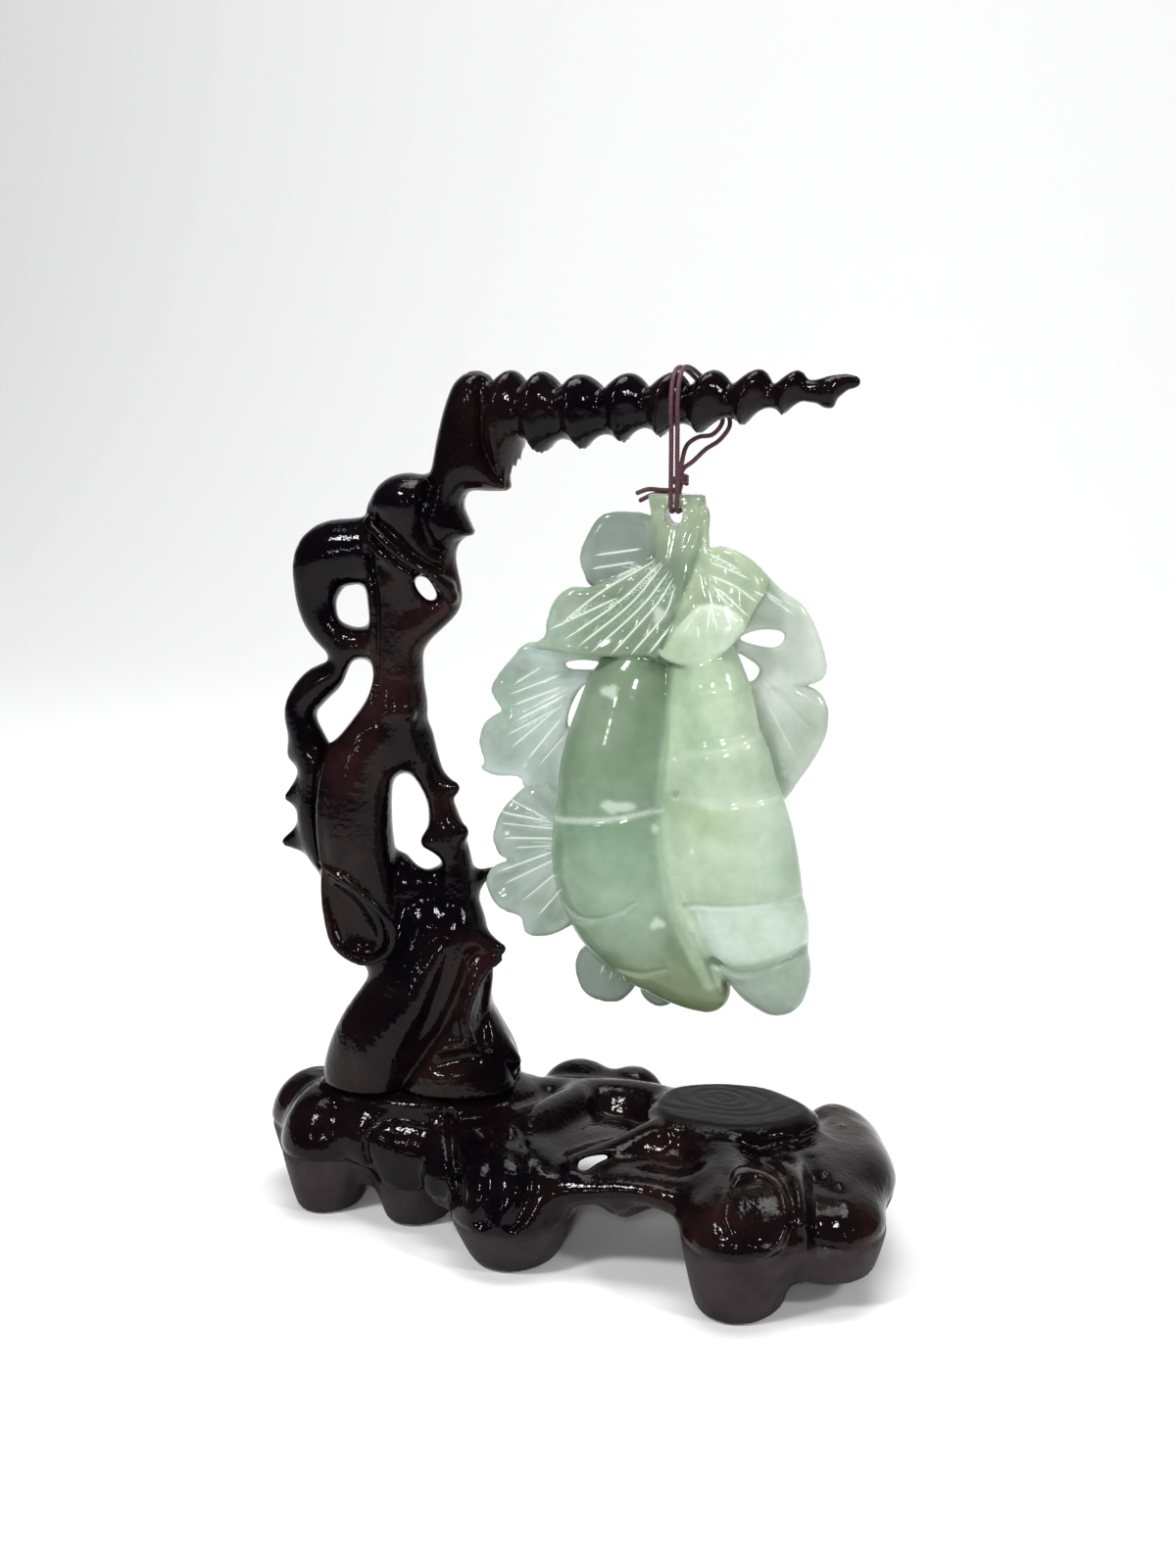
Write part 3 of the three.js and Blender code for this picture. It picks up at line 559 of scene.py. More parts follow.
# The arm tapers to its tip. Each row is a ridge, with the x of its crest above and below, the height of its
# crest above and below, and the depth of the valleys below.
arm_ridges = np.array([
    (-40.1, -41.6, 300.9, 262.0, 9), (-26.0, -27.2, 301.2, 266.5, 12), (-15.6, -15.1, 300.8, 273.8, 4.5),
    (-2.6, -1.0, 299.9, 275.0, 4), (13.8, 11.6, 300.4, 277.3, 4), (28.8, 23.8, 300.8, 279.2, 4),
    (41.7, 37.8, 301.5, 280.6, 4), (56.7, 51.3, 301.8, 283.0, 4), (69.4, 65.0, 301.5, 287.0, 3.5),
    (80.5, 78.0, 299.5, 289.8, 3),
])
arm_start = -33.0
arm_end = 81.0
arm_depth_radius = 12.5
ridge_above = 4.8
twist_with_depth = 0.28
arm_tip = [
    (74, 295, 3.4, 0, 3.4), (80, 295.5, 3.4, 0, 3.2), (84, 297.6, 2.8, 0, 2.6),
    (87.4, 297.8, 2.0, 0, 2.0),
]
arm_tip_spur = [(78, 295, 3, 0, 3), (79.5, 291.5, 1.6, 0, 1.8)]


def horn(x, y, z):
    """How far a point lies outside the arm."""
    crest_x, below_x, crest, lowest, valley = arm_ridges.T
    top = np.interp(x, crest_x, crest)
    bottom = np.interp(x, below_x, lowest)
    radius = (top - bottom) / 2
    middle = (top + bottom) / 2
    depth_radius = np.minimum(radius * 0.95, arm_depth_radius)
    height = np.clip((z - bottom) / (top - bottom), 0, 1)
    lean = np.interp(x, crest_x, below_x - crest_x) * (1 - height)
    ridge = np.interp(x - lean - twist_with_depth * y, crest_x, np.arange(len(crest_x)))
    angle = np.arctan2((z - middle) / radius, y / depth_radius)
    above = np.clip(np.sin(angle), 0, 1) ** 0.7
    below = np.clip(-np.sin(angle), 0, 1)
    round_crest = 1 - np.abs(np.cos(math.pi * ridge)) ** 1.2
    sharp_crest = np.abs(np.sin(math.pi * ridge)) ** 0.8
    depth = ridge_above * (1 - below) + np.interp(x, crest_x, valley) * below
    reach = 1 - depth * (above * round_crest + (1 - above) * sharp_crest) / radius
    gap = (np.sqrt((y / depth_radius) ** 2 + ((z - middle) / radius) ** 2) - reach) * depth_radius
    return np.maximum(gap * 0.8, np.maximum(arm_start - x, x - arm_end))


cuts, x, y, z = window(upright, (arm_start - 3, -20, 255), (arm_end + 3, 20, 305))
upright["field"][cuts] = melt(upright["field"][cuts], horn(x, y, z).astype(np.float32), 1.5)
grow(upright, arm_tip, blend=2.0)
grow(upright, arm_tip_spur, blend=2.0)

for rows in trunk_ridges:
    grow(upright, rows, blend=2.0)
gouge(upright, spoon_hollow)
grow(upright, spoon_rim, blend=1.0)
gouge(upright, eye_hollow)
for outline in trunk_holes:
    pierce(upright, outline)
for line, width, depth in trunk_creases:
    engrave(upright, line, width, depth)
seat_height = 48.3
upright["field"] = np.maximum(upright["field"], seat_height - upright["axes"][2][None, None, :])

# The brown and red patches are partly the lacquer's own colour and partly a painted reddish sheen.
lacquer_black = (0.0018, 0.0012, 0.0018)
lacquer_brown = (0.0064, 0.0031, 0.0038)
lacquer_red = (0.024, 0.0082, 0.0098)
lacquer_roughness = 0.07
lacquer_specular = 0.14


def lacquer_and_sheen_colours(tree):
    """Near black with random patches of dark brown and red: partly the lacquer's own red-brown, partly a
    painted reddish sheen.
    """
    shade = noise(tree, 22.0, 5.0, 0.6)
    stops = [(0.43, lacquer_black), (0.56, lacquer_brown), (0.72, lacquer_red)]
    return ramp(tree, shade.outputs["Fac"], stops)


def lacquer_skin(tree, shader):
    """The fine orange peel of brushed lacquer, with waves left by the knife below it."""
    peel = bump(tree, noise(tree, 620.0, 1.5, 0.5).outputs["Fac"], 0.5, 0.00030)
    waves = bump(tree, noise(tree, 110.0, 1.5).outputs["Fac"], 0.35, 0.0010)
    tree.links.new(waves.outputs["Normal"], peel.inputs["Normal"])
    tree.links.new(peel.outputs["Normal"], shader.inputs["Normal"])


lacquer, tree, shader = with_nodes("dark_lacquer")
dress(tree, shader, {
    "Base Color": lacquer_and_sheen_colours(tree).outputs["Color"],
    "Roughness": lacquer_roughness,
    "Specular IOR Level": lacquer_specular,
})
lacquer_skin(tree, shader)

stand_upright, _ = surface(upright, "stand_upright_carved")
stand_upright.data.materials.append(lacquer)
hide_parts("stand_upright")
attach(stand_upright, "root")

# The stand's base is one piece of the same wood, carved as a low root with rounded lobes and feet, a seat
# for the upright and a flat stump at the right. It is lacquered, but sawn and matt below a scribed line.
base_voxel = 1.0
stump_top_height = 48.0
# Each lobe: x, y, half length, half depth, top, scribed line, share left at its foot, and underside.
lobes = [
    (-97, -4, 17, 21, 44, 23, 0.68, 0), (-106, 14, 19, 17, 43, 24, 0.8, 10),
    (-98, 22, 15, 14, 40, 22, 0.7, 0), (-62, -7, 16, 20, 42, 16, 0.72, 0),
    (-19.5, -32, 22.5, 26, 42, 17, 0.64, 0), (-26, 2, 19, 22, 44, 20, 0.8, 10),
    (-10, 34, 17, 13, 46.5, 29, 0.8, 18), (10, 35, 13, 11, 45, 29, 0.8, 20),
    (62, -49, 20, 27, 42, 25, 0.74, 0), (76, -12, 34, 33, 42, 27, 0.8, 10),
    (91, -38, 18, 20, 37, 24, 0.8, 10), (90, 6, 17, 30, 41, 24, 0.8, 6),
    (86, 22, 14, 15, 41, 22, 0.75, 0),
]
# Rows of these limbs are x, y, z, half depth and half height, and those of the fills are as on the upright.
base_limbs = [
    [(-6, -38, 27, 10, 8), (10, -40, 30.5, 8, 5.5), (26, -41, 32.5, 8, 5), (40, -42, 31, 9, 6),
     (54, -41, 29, 12, 12)],
    [(-34, 14, 32, 14, 13), (-10, 18, 35, 11, 10), (14, 18, 36, 10, 10), (34, 10, 34, 13, 12)],
    [(-48, 0, 36, 7, 10), (-46, -16, 30, 6, 10), (-44, -30, 22, 5, 9)],
    [(-40, 6, 34, 16, 12), (-28, -8, 32, 14, 12), (-22, -22, 28, 14, 11)],
    [(-94, 0, 33, 15, 12), (-76, -4, 32, 14, 12), (-58, -4, 32, 14, 12)],
    [(40, -8, 36, 14, 10), (54, -26, 34, 16, 10), (62, -44, 32, 16, 9)],
    [(44, -2, 32, 12, 10), (32, -18, 30, 9, 9), (20, -36, 27, 8, 8)],
]
base_fills = [
    [(72, 26, 16, -48, 18), (92, 24, 14, -38, 20)],
    [(80, 30, 12, -30, 20), (98, 30, 10, -12, 22)],
    [(-78, 30, 12, -10, 14), (-46, 30, 10, -8, 14)],
    [(-44, 30, 8, -14, 12), (-30, 28, 10, -26, 14)],
    [(-20, 38, 6, -26, 8), (-14, 41, 6, -12, 9), (-6, 41, 6, 6, 10)],
    [(-8, 31, 8, -14, 22), (8, 31, 8, -12, 22), (24, 29, 8, -14, 22), (44, 27, 8, -20, 20)],
    [(4, 34, 4, -34, 6), (16, 38, 4.5, -27, 6), (28, 42, 5, -18, 7)],
]
# The seat and the stump: x, y, half length, half depth and underside.
plateaus = [(-62, 8, 40, 27, 10), (51.5, -0.5, 30, 22.4, 12)]

base = blank((-128.0, -80.0, -3.0), (114.0, 51.0, 54.0), base_voxel)
bx, by, bz = (axis.reshape([-1 if k == n else 1 for k in range(3)]) for n, axis in enumerate(base["axes"]))
line_sum = np.zeros((bx.size, by.size, 1), np.float32)
line_weight = np.zeros_like(line_sum)
for x, y, half_length, half_depth, top, line, foot, bottom in lobes:
    spread = np.sqrt(((bx - x) / half_length) ** 2 + ((by - y) / half_depth) ** 2)
    below = foot + (1 - foot) * np.clip((bz - bottom) / (line - bottom), 0, 1) ** 0.8
    rise = np.clip((bz - line) / (top - line), 0, 1)
    outline = np.where(bz < line, below, (1 - rise ** 1.9) ** (1 / 2.1))
    gap = (spread - outline) * min(half_length, half_depth)
    gap = np.maximum(gap, np.maximum(bottom - bz, bz - top))
    base["field"] = melt(base["field"], gap.astype(np.float32), 7.0)
    weight = np.exp(-4 * spread)
    line_sum += weight * line
    line_weight += weight
for rows in base_limbs:
    grow(base, [(x, z, half_height, y, half_depth) for x, y, z, half_depth, half_height in rows], blend=6.0)
for rows in base_fills:
    grow(base, rows, blend=6.0)
for x, y, half_length, half_depth, bottom in plateaus:
    around = np.arctan2((by - y) / half_depth, (bx - x) / half_length)
    uneven = 1 + 0.025 * np.cos(3 * around + 0.6) + 0.02 * np.cos(5 * around)
    spread = np.sqrt(((bx - x) / half_length) ** 2 + ((by - y) / half_depth) ** 2)
    widening = 0.86 + 0.14 * np.clip((bz - bottom) / (34 - bottom), 0, 1)
    rounded_edge = 1 - 0.05 * np.clip(bz - stump_top_height + 3, 0, 3)
    outline = widening * uneven * rounded_edge
    gap = np.maximum((spread - outline) * half_depth, np.maximum(bottom - bz, bz - stump_top_height))
    base["field"] = melt(base["field"], gap.astype(np.float32), 3.5)

# Flutes run down the lobes, a medallion is cut in the face of one, and a swirl of rings in the stump's top.
# Each flute: its line, width and depth, how far back it reaches, and the plane that it is drawn in.
base_flutes = [
    ([(-26.3, 56), (-22.6, 43), (-22.8, 29), (-25.5, 19)], 2.6, 2.4, -20, -52),
    ([(-13.4, 57), (-9.6, 44), (-9.7, 30.4), (-15, 19)], 2.6, 2.4, -20, -52),
    ([(-39.5, 50), (-38.5, 36), (-37, 22)], 2.0, 2.4, 4, -40),
    ([(-74.5, 26), (-75, 34), (-70, 40.5), (-62, 43), (-53, 42)], 1.2, 1.4, 0, -26),
    ([(57.5, 36.5), (61.4, 50.4), (68.2, 56.5), (77.6, 56.5), (82.5, 49.0), (83.7, 35.7)],
     2.4, -1.8, -20, -66),
    ([(85.8, 57.7), (87.4, 42.8), (88.6, 27.8)], 2.2, 2.6, -14, -66),
    ([(90.0, 50), (91.5, 40), (92.5, 31)], 4.2, 2.6, -14, -66),
]
root_slot = [(3.0, 34.2), (7, 36.6), (15, 38.0), (9.5, 34.4), (5.6, 31.4), (3.2, 31.6)]
for line, width, depth, far, plane in base_flutes:
    engrave(base, line, width, depth, far=far, plane=plane)
pierce(base, root_slot, blend=1.5, plane=-30, near=-50, far=8)


def medallion(block, x, z, half_width, half_height, plane, far, hollow):
    """Cuts a raised oval rim in a face, with a groove round it and a shallow hollow inside."""
    cuts, gx, gy, gz = window(block, (x - 30, plane, z - 40), (x + 30, far, z + 30))
    fade = np.clip((far - gy) / 3, 0, 1)
    gx, gz = as_seen(gx, gy, gz, plane)
    spread = np.sqrt(((gx - x) / half_width) ** 2 + ((gz - z) / half_height) ** 2)
    off = (spread - 1) * min(half_width, half_height)
    cut = 0.8 * np.exp(-((off - 2.4) / 1.2) ** 2) - 1.2 * np.exp(-(off / 1.2) ** 2)
    cut = cut + hollow * np.clip(1 - (spread / 0.9) ** 2, 0, 1)
    block["field"][cuts] += (cut * fade).astype(np.float32)


medallion(base, 69.9, 41.1, half_width=9.4, half_height=14.2, plane=-72, far=-24, hollow=1.6)
ring_distance = 3.6
ring_depth = 0.35
swirl_radius = 24
swirl_x = (bx - 48.0 - 0.2 * (by - 4)) / 1.35
swirl_y = (by - 4.0 + 1.2 * np.sin((bx - 51) / 6)) * 1.25
rings = np.sqrt(swirl_x ** 2 + swirl_y ** 2) + 0.9 * np.sin(2 * np.arctan2(swirl_y, swirl_x) + 0.6)
swirl = np.clip(np.cos(2 * math.pi * (np.maximum(rings, 0) / ring_distance) ** 0.85), 0, 1) ** 3
on_stump = np.clip(bz - 44, 0, 1) * np.clip((bx - 22) / 4, 0, 1) * np.clip((swirl_radius - rings) / 4, 0, 1)
base["field"] += (ring_depth * swirl * on_stump).astype(np.float32)
scribed = line_sum / line_weight
scribed_depth = 0.7
scribed_width = 0.9
base["field"] += scribed_depth * np.exp(-((bz - scribed) / scribed_width) ** 2)
base["field"] = np.maximum(base["field"], np.maximum(-bz, bz - stump_top_height))

stand_base, base_points = surface(base, "stand_base_carved")
column = np.clip(np.round((base_points[:, :2] - base["low"][:2]) / base_voxel).astype(int), 0,
                 np.array(scribed.shape[:2]) - 1)
below_line = np.clip((scribed[column[:, 0], column[:, 1], 0] - base_points[:, 2]) * 1.5, 0, 1)
on_disc = np.clip(base_points[:, 2] - stump_top_height + 1.5, 0, 1) * (base_points[:, 0] > 15)
paint(stand_base, "skirt", np.maximum(below_line, on_disc * 0.85))
paint(stand_base, "stump_top", on_disc)


def painted(tree, name):
    """A node that reads a value painted on the piece."""
    node = tree.nodes.new("ShaderNodeAttribute")
    node.attribute_name = name
    return node


def mixed(tree, share, first, second, blend="MIX"):
    """The colour between two colours at a share."""
    node = tree.nodes.new("ShaderNodeMix")
    node.data_type = "RGBA"
    node.blend_type = blend
    feed(tree, node.inputs["Factor"], share)
    feed(tree, node.inputs[6], first)
    feed(tree, node.inputs[7], second)
    return node.outputs[2]


lacquered_base, tree, shader = with_nodes("dark_lacquer_and_sawn_skirt")
gloss_colours = lacquer_and_sheen_colours(tree)
sawn = noise(tree, 70.0, 4.0, 0.65)
sawn_dark = (0.021, 0.016, 0.018)
sawn_light = (0.042, 0.034, 0.037)
stump_grey = (0.0095, 0.0095, 0.0105)
sawn_roughness = 0.42
sawn_specular = 0.035
sawn_colours = ramp(tree, sawn.outputs["Fac"], [(0.3, sawn_dark), (0.7, sawn_light)]).outputs["Color"]
on_stump_top = painted(tree, "stump_top").outputs["Fac"]
matt_colours = mixed(tree, on_stump_top, sawn_colours, (*stump_grey, 1.0))
skirt = painted(tree, "skirt").outputs["Fac"]
rough = ramp(tree, skirt, [(0.0, (lacquer_roughness,) * 3), (1.0, (sawn_roughness,) * 3)])
dull = ramp(tree, skirt, [(0.0, (lacquer_specular,) * 3), (1.0, (sawn_specular,) * 3)])
dress(tree, shader, {
    "Base Color": mixed(tree, skirt, gloss_colours.outputs["Color"], matt_colours),
    "Roughness": rough.outputs["Color"],
    "Specular IOR Level": dull.outputs["Color"],
})
lacquer_skin(tree, shader)

stand_base.data.materials.append(lacquered_base)
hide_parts("stand_base")
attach(stand_base, "root")

# The pendant is one piece of jade, cut as two grooved gourds among thin scalloped leaves, and polished.
# It hangs on the cord by a bore in its neck. The leaves are plates with outlines in the front view, where a
# point given twice is a notch between two scallops.
jade_voxel = 0.78
jade = blank((-41.0, -26.0, 78.0), (86.0, 14.0, 265.0), jade_voxel)
jx, jy, jz = jade["axes"]
flat_x, flat_z = np.meshgrid(jx, jz, indexing="ij")

grey_leaf = (0.40, 0.475, 0.445)
dim_leaf = (0.185, 0.23, 0.20)
pale_leaf = (0.44, 0.495, 0.44)
green_leaf = (0.18, 0.24, 0.17)
leaf_green = (0.335, 0.415, 0.295)
petal_green = (0.465, 0.55, 0.435)
deep_green = (0.215, 0.305, 0.22)
shaded_green = (0.14, 0.19, 0.118)
olive_green = (0.165, 0.21, 0.115)
light_green = (0.35, 0.45, 0.32)
neck_green = (0.28, 0.345, 0.24)
yellow_green = (0.31, 0.385, 0.215)
# A lighter green, painted as light over a leaf corner that falls in shade.
painted_light_green = (0.36, 0.44, 0.38)
milky_green = (0.38, 0.475, 0.355)
clouded_leaf = (0.325, 0.39, 0.355)
shaded_white = (0.33, 0.40, 0.345)
white_green = (0.49, 0.58, 0.51)
pale_stroke = (0.74, 0.82, 0.74)

# Each leaf: its colour, the stem that its pleats spread from, how far back it lies, how it leans with x and
# z, its thickness, how far its rim curls, how many pleats it has, and its outline.
leaves = {
    "upper_back": (dim_leaf, (28, 240), -2, (0.0, 0.06), 6, -1.5, 0, [
        (22, 253.5), (14.6, 255.3), (5.6, 254.2), (0.4, 247.4), (-2.1, 239.9), (-0.3, 233.8), (1.9, 230.4),
        (12, 226), (26, 230), (29, 242)]),
    "far_right": (pale_leaf, (50, 226), 1, (0.0, 0.0), 5.5, -1.0, 0, [
        (56, 238), (66, 230), (73, 225), (78, 216), (81, 206), (80, 201), (75, 198.5), (75, 198.5), (66, 197),
        (54, 196), (48, 204), (48, 214), (50, 228)]),
    "lower_right": (pale_leaf, (56, 208), 2, (0.0, 0.0), 5.5, -1.0, 5, [
        (62, 201), (74, 198.5), (74, 198.5), (79, 196), (82, 190), (81.5, 182), (78, 174), (73, 166),
        (67, 158), (60, 160), (55, 180), (54, 196)]),
    "left": (grey_leaf, (4, 200), 0, (0.0, 0.0), 6, -1.5, 7, [
        (-13, 210), (-21, 210), (-26, 205), (-31, 199), (-33.5, 193), (-30, 186), (-30, 186), (-36, 182),
        (-38, 175), (-36.5, 168), (-38, 165.5), (-33, 163), (-24, 163), (-22, 160), (-14, 157.5), (-6, 160),
        (0, 176), (8, 196), (10, 204), (2, 207)]),
    "under_upper": (light_green, (10, 214), -2, (0.0, 0.0), 7, 0, 0, [
        (-12, 209), (0, 212), (16, 214), (30, 212), (30, 196), (12, 194), (6, 203), (-4, 205)]),
    "lower_left": (clouded_leaf, (-2, 140), 0, (0.0, 0.0), 6, -1.5, 8, [
        (-12, 161), (-21, 160), (-27, 155), (-32, 148), (-33.5, 141), (-32, 135), (-28, 133), (-28, 133),
        (-34, 130), (-36.5, 124), (-34, 118), (-29, 114), (-24, 112), (-22, 107), (-16, 105.5), (-8, 109),
        (2, 118), (4, 140), (-2, 156)]),
    "bottom": (dim_leaf, (12, 112), 2, (0.0, 0.0), 6, -1.0, 4, [
        (-5, 111), (1, 105), (-3, 101), (-5, 94), (-2, 86), (5, 82.5), (12, 83), (18, 90), (18, 90), (20, 85),
        (26, 82), (32, 85), (34, 90), (34, 104), (10, 112)]),
    "right": (leaf_green, (38, 262), -1.2, (-0.05, 0.14), 7, -1.5, 7, [
        (32, 254), (41.2, 257), (41.7, 245), (45.9, 245), (51.9, 243.2), (57.8, 239.6), (61.5, 235.2),
        (61, 230), (58.6, 226), (56.3, 221.5), (53, 215.4), (46, 210), (36, 214), (31, 226)]),
    "upper_front": (green_leaf, (31, 262), -0.8, (0.02, 0.17), 7, -1.6, 9, [
        (24, 257), (22.4, 253), (24.3, 245.2), (21.5, 238.6), (11.6, 234.2), (1.9, 230.6), (1.9, 230.6),
        (-4, 230.5), (-9.3, 226.2), (-11.8, 219), (-12.5, 214), (-17, 210.6), (-7.8, 208.8), (7, 207.8),
        (22, 208.4), (27, 208.0), (30.2, 218.6), (35.4, 231.5), (39.1, 243.7), (39.8, 256)]),
    "petal": (petal_green, (42, 232), -11.5, (0.0, 0.05), 6, -1.2, 4, [
        (26.8, 209.8), (30, 215), (34.5, 221), (39, 225.5), (44, 226.5), (50, 225.5), (55.5, 221),
        (52.5, 215), (48, 210.5), (42, 207.2), (33, 206.6)]),
}
# The fine strokes that the leaves' veins are cut with.
strokes = [
    [(3.4, 236.6), (16.9, 238.9)], [(4.4, 241.0), (18.4, 243.2)], [(10.9, 234.0), (18.9, 237.8)],
    [(-5.8, 219.4), (7.2, 229.7), (23.7, 239.5)], [(-9.6, 217.0), (11.7, 227.3)],
    [(-2.0, 215.7), (11.7, 225.1)], [(-4.7, 213.8), (13.2, 226.6), (25.9, 239.1)],
    [(0.3, 212.0), (16.2, 225.2), (26.7, 238.1)], [(4.9, 210.2), (20.8, 225.4), (28.9, 236.2)],
    [(11.0, 209.3), (25.3, 225.5), (30.4, 233.8)], [(17.8, 209.6), (28.3, 222.6), (31.5, 231.6)],
    [(23.9, 210.2), (29.8, 218.2)], [(42.6, 242.4), (52.6, 237.7)], [(43.0, 239.8), (55.5, 235.1)],
    [(43.0, 235.6), (51.9, 231.8), (58.6, 227.6)], [(43.8, 232.6), (52.1, 221.8)],
    [(42.6, 231.1), (46.5, 218.7)], [(46.0, 231.2), (55.8, 222.7)], [(60.8, 228.7), (69.0, 223.1)],
    [(57.8, 231.1), (66.0, 226.6)], [(43.9, 225.3), (43.2, 219.3)], [(39.8, 219.7), (40.3, 215.8)],
    [(48.3, 226.1), (51.0, 219.1)], [(60.6, 199.5), (75.3, 183.9)], [(62.6, 196.9), (73.9, 180.5)],
    [(61.5, 192.4), (70.8, 175.4)], [(65.9, 194.0), (75.7, 184.7)], [(-24.5, 196.4), (-15.9, 201.9)],
    [(-26.1, 192.6), (-8.2, 200.0)], [(-25.0, 188.7), (-8.9, 195.4)], [(-23.8, 183.6), (-7.4, 192.7)],
    [(-25.8, 174.2), (-8.2, 189.6)], [(-20.0, 170.5), (-9.0, 184.2)], [(-27.3, 178.3), (-10.5, 188.0)],
    [(-16.1, 168.4), (-7.4, 178.9)], [(-27.5, 155.2), (-13.8, 148.8)], [(-30.4, 150.8), (-11.5, 147.4)],
    [(-30.2, 146.4), (-10.7, 145.5)], [(-28.6, 141.4), (-10.7, 141.9)], [(-25.0, 137.9), (-11.5, 139.4)],
    [(-30.3, 129.6), (-12.3, 137.0)], [(-28.8, 124.8), (-9.9, 135.1)], [(-22.4, 119.2), (-8.4, 131.6)],
    [(-16.4, 114.8), (-6.5, 127.0)], [(9.5, 96.0), (7.9, 91.3)], [(12.2, 96.9), (11.5, 91.0)],
    [(15.1, 96.7), (15.3, 92.9)], [(6.1, 96.8), (5.0, 93.8)], [(23.2, 92.1), (23.9, 88.6)],
]
jade_holes = [
    [(-7.7, 203.4), (-2.0, 204.4), (5.7, 203.8), (7.7, 202.9), (4.2, 201.6), (-5.8, 201.4)],
    [(4.6, 198.8), (-2.0, 195.2), (-6.2, 187.6), (-7.0, 181.6), (-4.6, 181.4), (-0.5, 189.4), (4.9, 198.2)],
    [(51.8, 213.7), (58.1, 216.6), (65.4, 216.5), (66.8, 214.1), (64.1, 211.2), (58.2, 211.4)],
    [(50.6, 208.7), (56.1, 206.0), (58.6, 203.5), (57.4, 200.2), (54.8, 199.4), (52.2, 203.2)],
]


def near_line(line):
    """How far each point of the pendant's front view lies from a line."""
    return np.sqrt(squared_gap(through(line, 5), flat_x, flat_z))


def tint_over(cover, colour):
    """Lays a colour over the front view where the cover says, from 0 to 1."""
    tints[:] = tints * (1 - cover[..., None]) + np.array(colour) * cover[..., None]


tints = np.broadcast_to(np.array(light_green), flat_x.shape + (3,)).copy()
stroke_width = 0.8
stroke_cut = np.zeros(flat_x.shape, np.float32)
for stroke in strokes:
    (ax, az), (cx, cz) = stroke[0], stroke[-1]
    along = ((flat_x - ax) * (cx - ax) + (flat_z - az) * (cz - az)) / ((cx - ax) ** 2 + (cz - az) ** 2)
    taper = stroke_width * np.clip(3.2 * np.sqrt(np.clip(along * (1 - along), 0, 1)), 0.3, 1)
    stroke_cut = np.maximum(stroke_cut, np.exp(-(near_line(stroke) / taper) ** 2))

core = [
    (28, 214, 12, -1, 6), (27, 190, 18, -1, 8), (27, 165, 22, -1, 9), (30, 140, 24, -1, 9),
    (36, 118, 19, -1, 8), (46, 104, 12, -2, 6),
]
shoulders = [(22, 213, 8, -5, 7.5), (34, 214, 9, -5, 8)]
left_gourd = [
    (24, 208, 8, -2, 8), (17, 196, 15, -4, 12), (14, 182, 18, -5, 14), (12, 169, 20, -6, 15.4),
    (11, 158, 20.2, -6, 14.9), (11, 153, 20.4, -6, 14.5), (10.5, 146, 21.6, -6, 15.6),
    (11.5, 134, 22.5, -6, 15.5), (14, 125, 21.8, -6, 14), (16, 119, 20.6, -6, 13.8),
    (21.5, 110.5, 18.4, -5, 13.6), (27.5, 104, 15.2, -5, 12.6), (34, 98, 12.2, -5, 11.4),
    (39.5, 93.6, 9.6, -5, 9.6), (43.2, 91.6, 8.2, -5, 8.4),
]
right_gourd = [
    (42, 209, 9, -5, 9), (44, 196, 13, -8, 11.4), (45.5, 184, 14.4, -8, 11), (46, 180, 14.8, -8, 11),
    (47.5, 172, 17, -9, 12.2), (49, 164, 17.6, -9, 12.2), (50, 158, 18.8, -9, 13),
    (52, 147, 20.4, -9, 14.2), (54, 137, 20.6, -9, 14), (57, 128, 18.9, -8.5, 12.4),
    (57.5, 124, 18.7, -8.5, 12.4), (60, 117, 18.2, -8, 12.6), (61.5, 110, 16.8, -8, 11.4),
    (62.8, 106, 15.2, -7, 9.8), (65, 101, 14.2, -7, 10.6), (67.5, 95, 10.4, -7, 8.6),
]
blade = [
    (33, 204, 3, -9, 4), (32.5, 186, 3.4, -11, 5), (30.5, 165, 3.4, -12.5, 5.5),
    (30.5, 149, 3.6, -13, 5.5), (32.5, 134, 4, -12.5, 5.5), (36, 121, 4.4, -11.5, 5.5),
    (41, 109, 4.4, -9.5, 5), (46, 97, 3.2, -7, 4.5),
]
tab = [
    (34, 226, 10, -5, 7), (33, 238, 9, -2, 7), (32, 249, 9, 0, 5.6), (30.6, 257, 9.4, 0, 4.8),
    (30, 262, 9.6, 0, 4.2), (30, 270, 9.6, 0, 4.2),
]
tab_top = 261.1

edge_width = 4.5
curl_width = 9
pleat_height = 0.7
pleat_spread = 2.2
pleat_reach = 30
stroke_depth = 0.15
tint_edge = 0.8
back_leaves = ["upper_back", "far_right", "lower_right", "left", "under_upper", "lower_left", "bottom"]


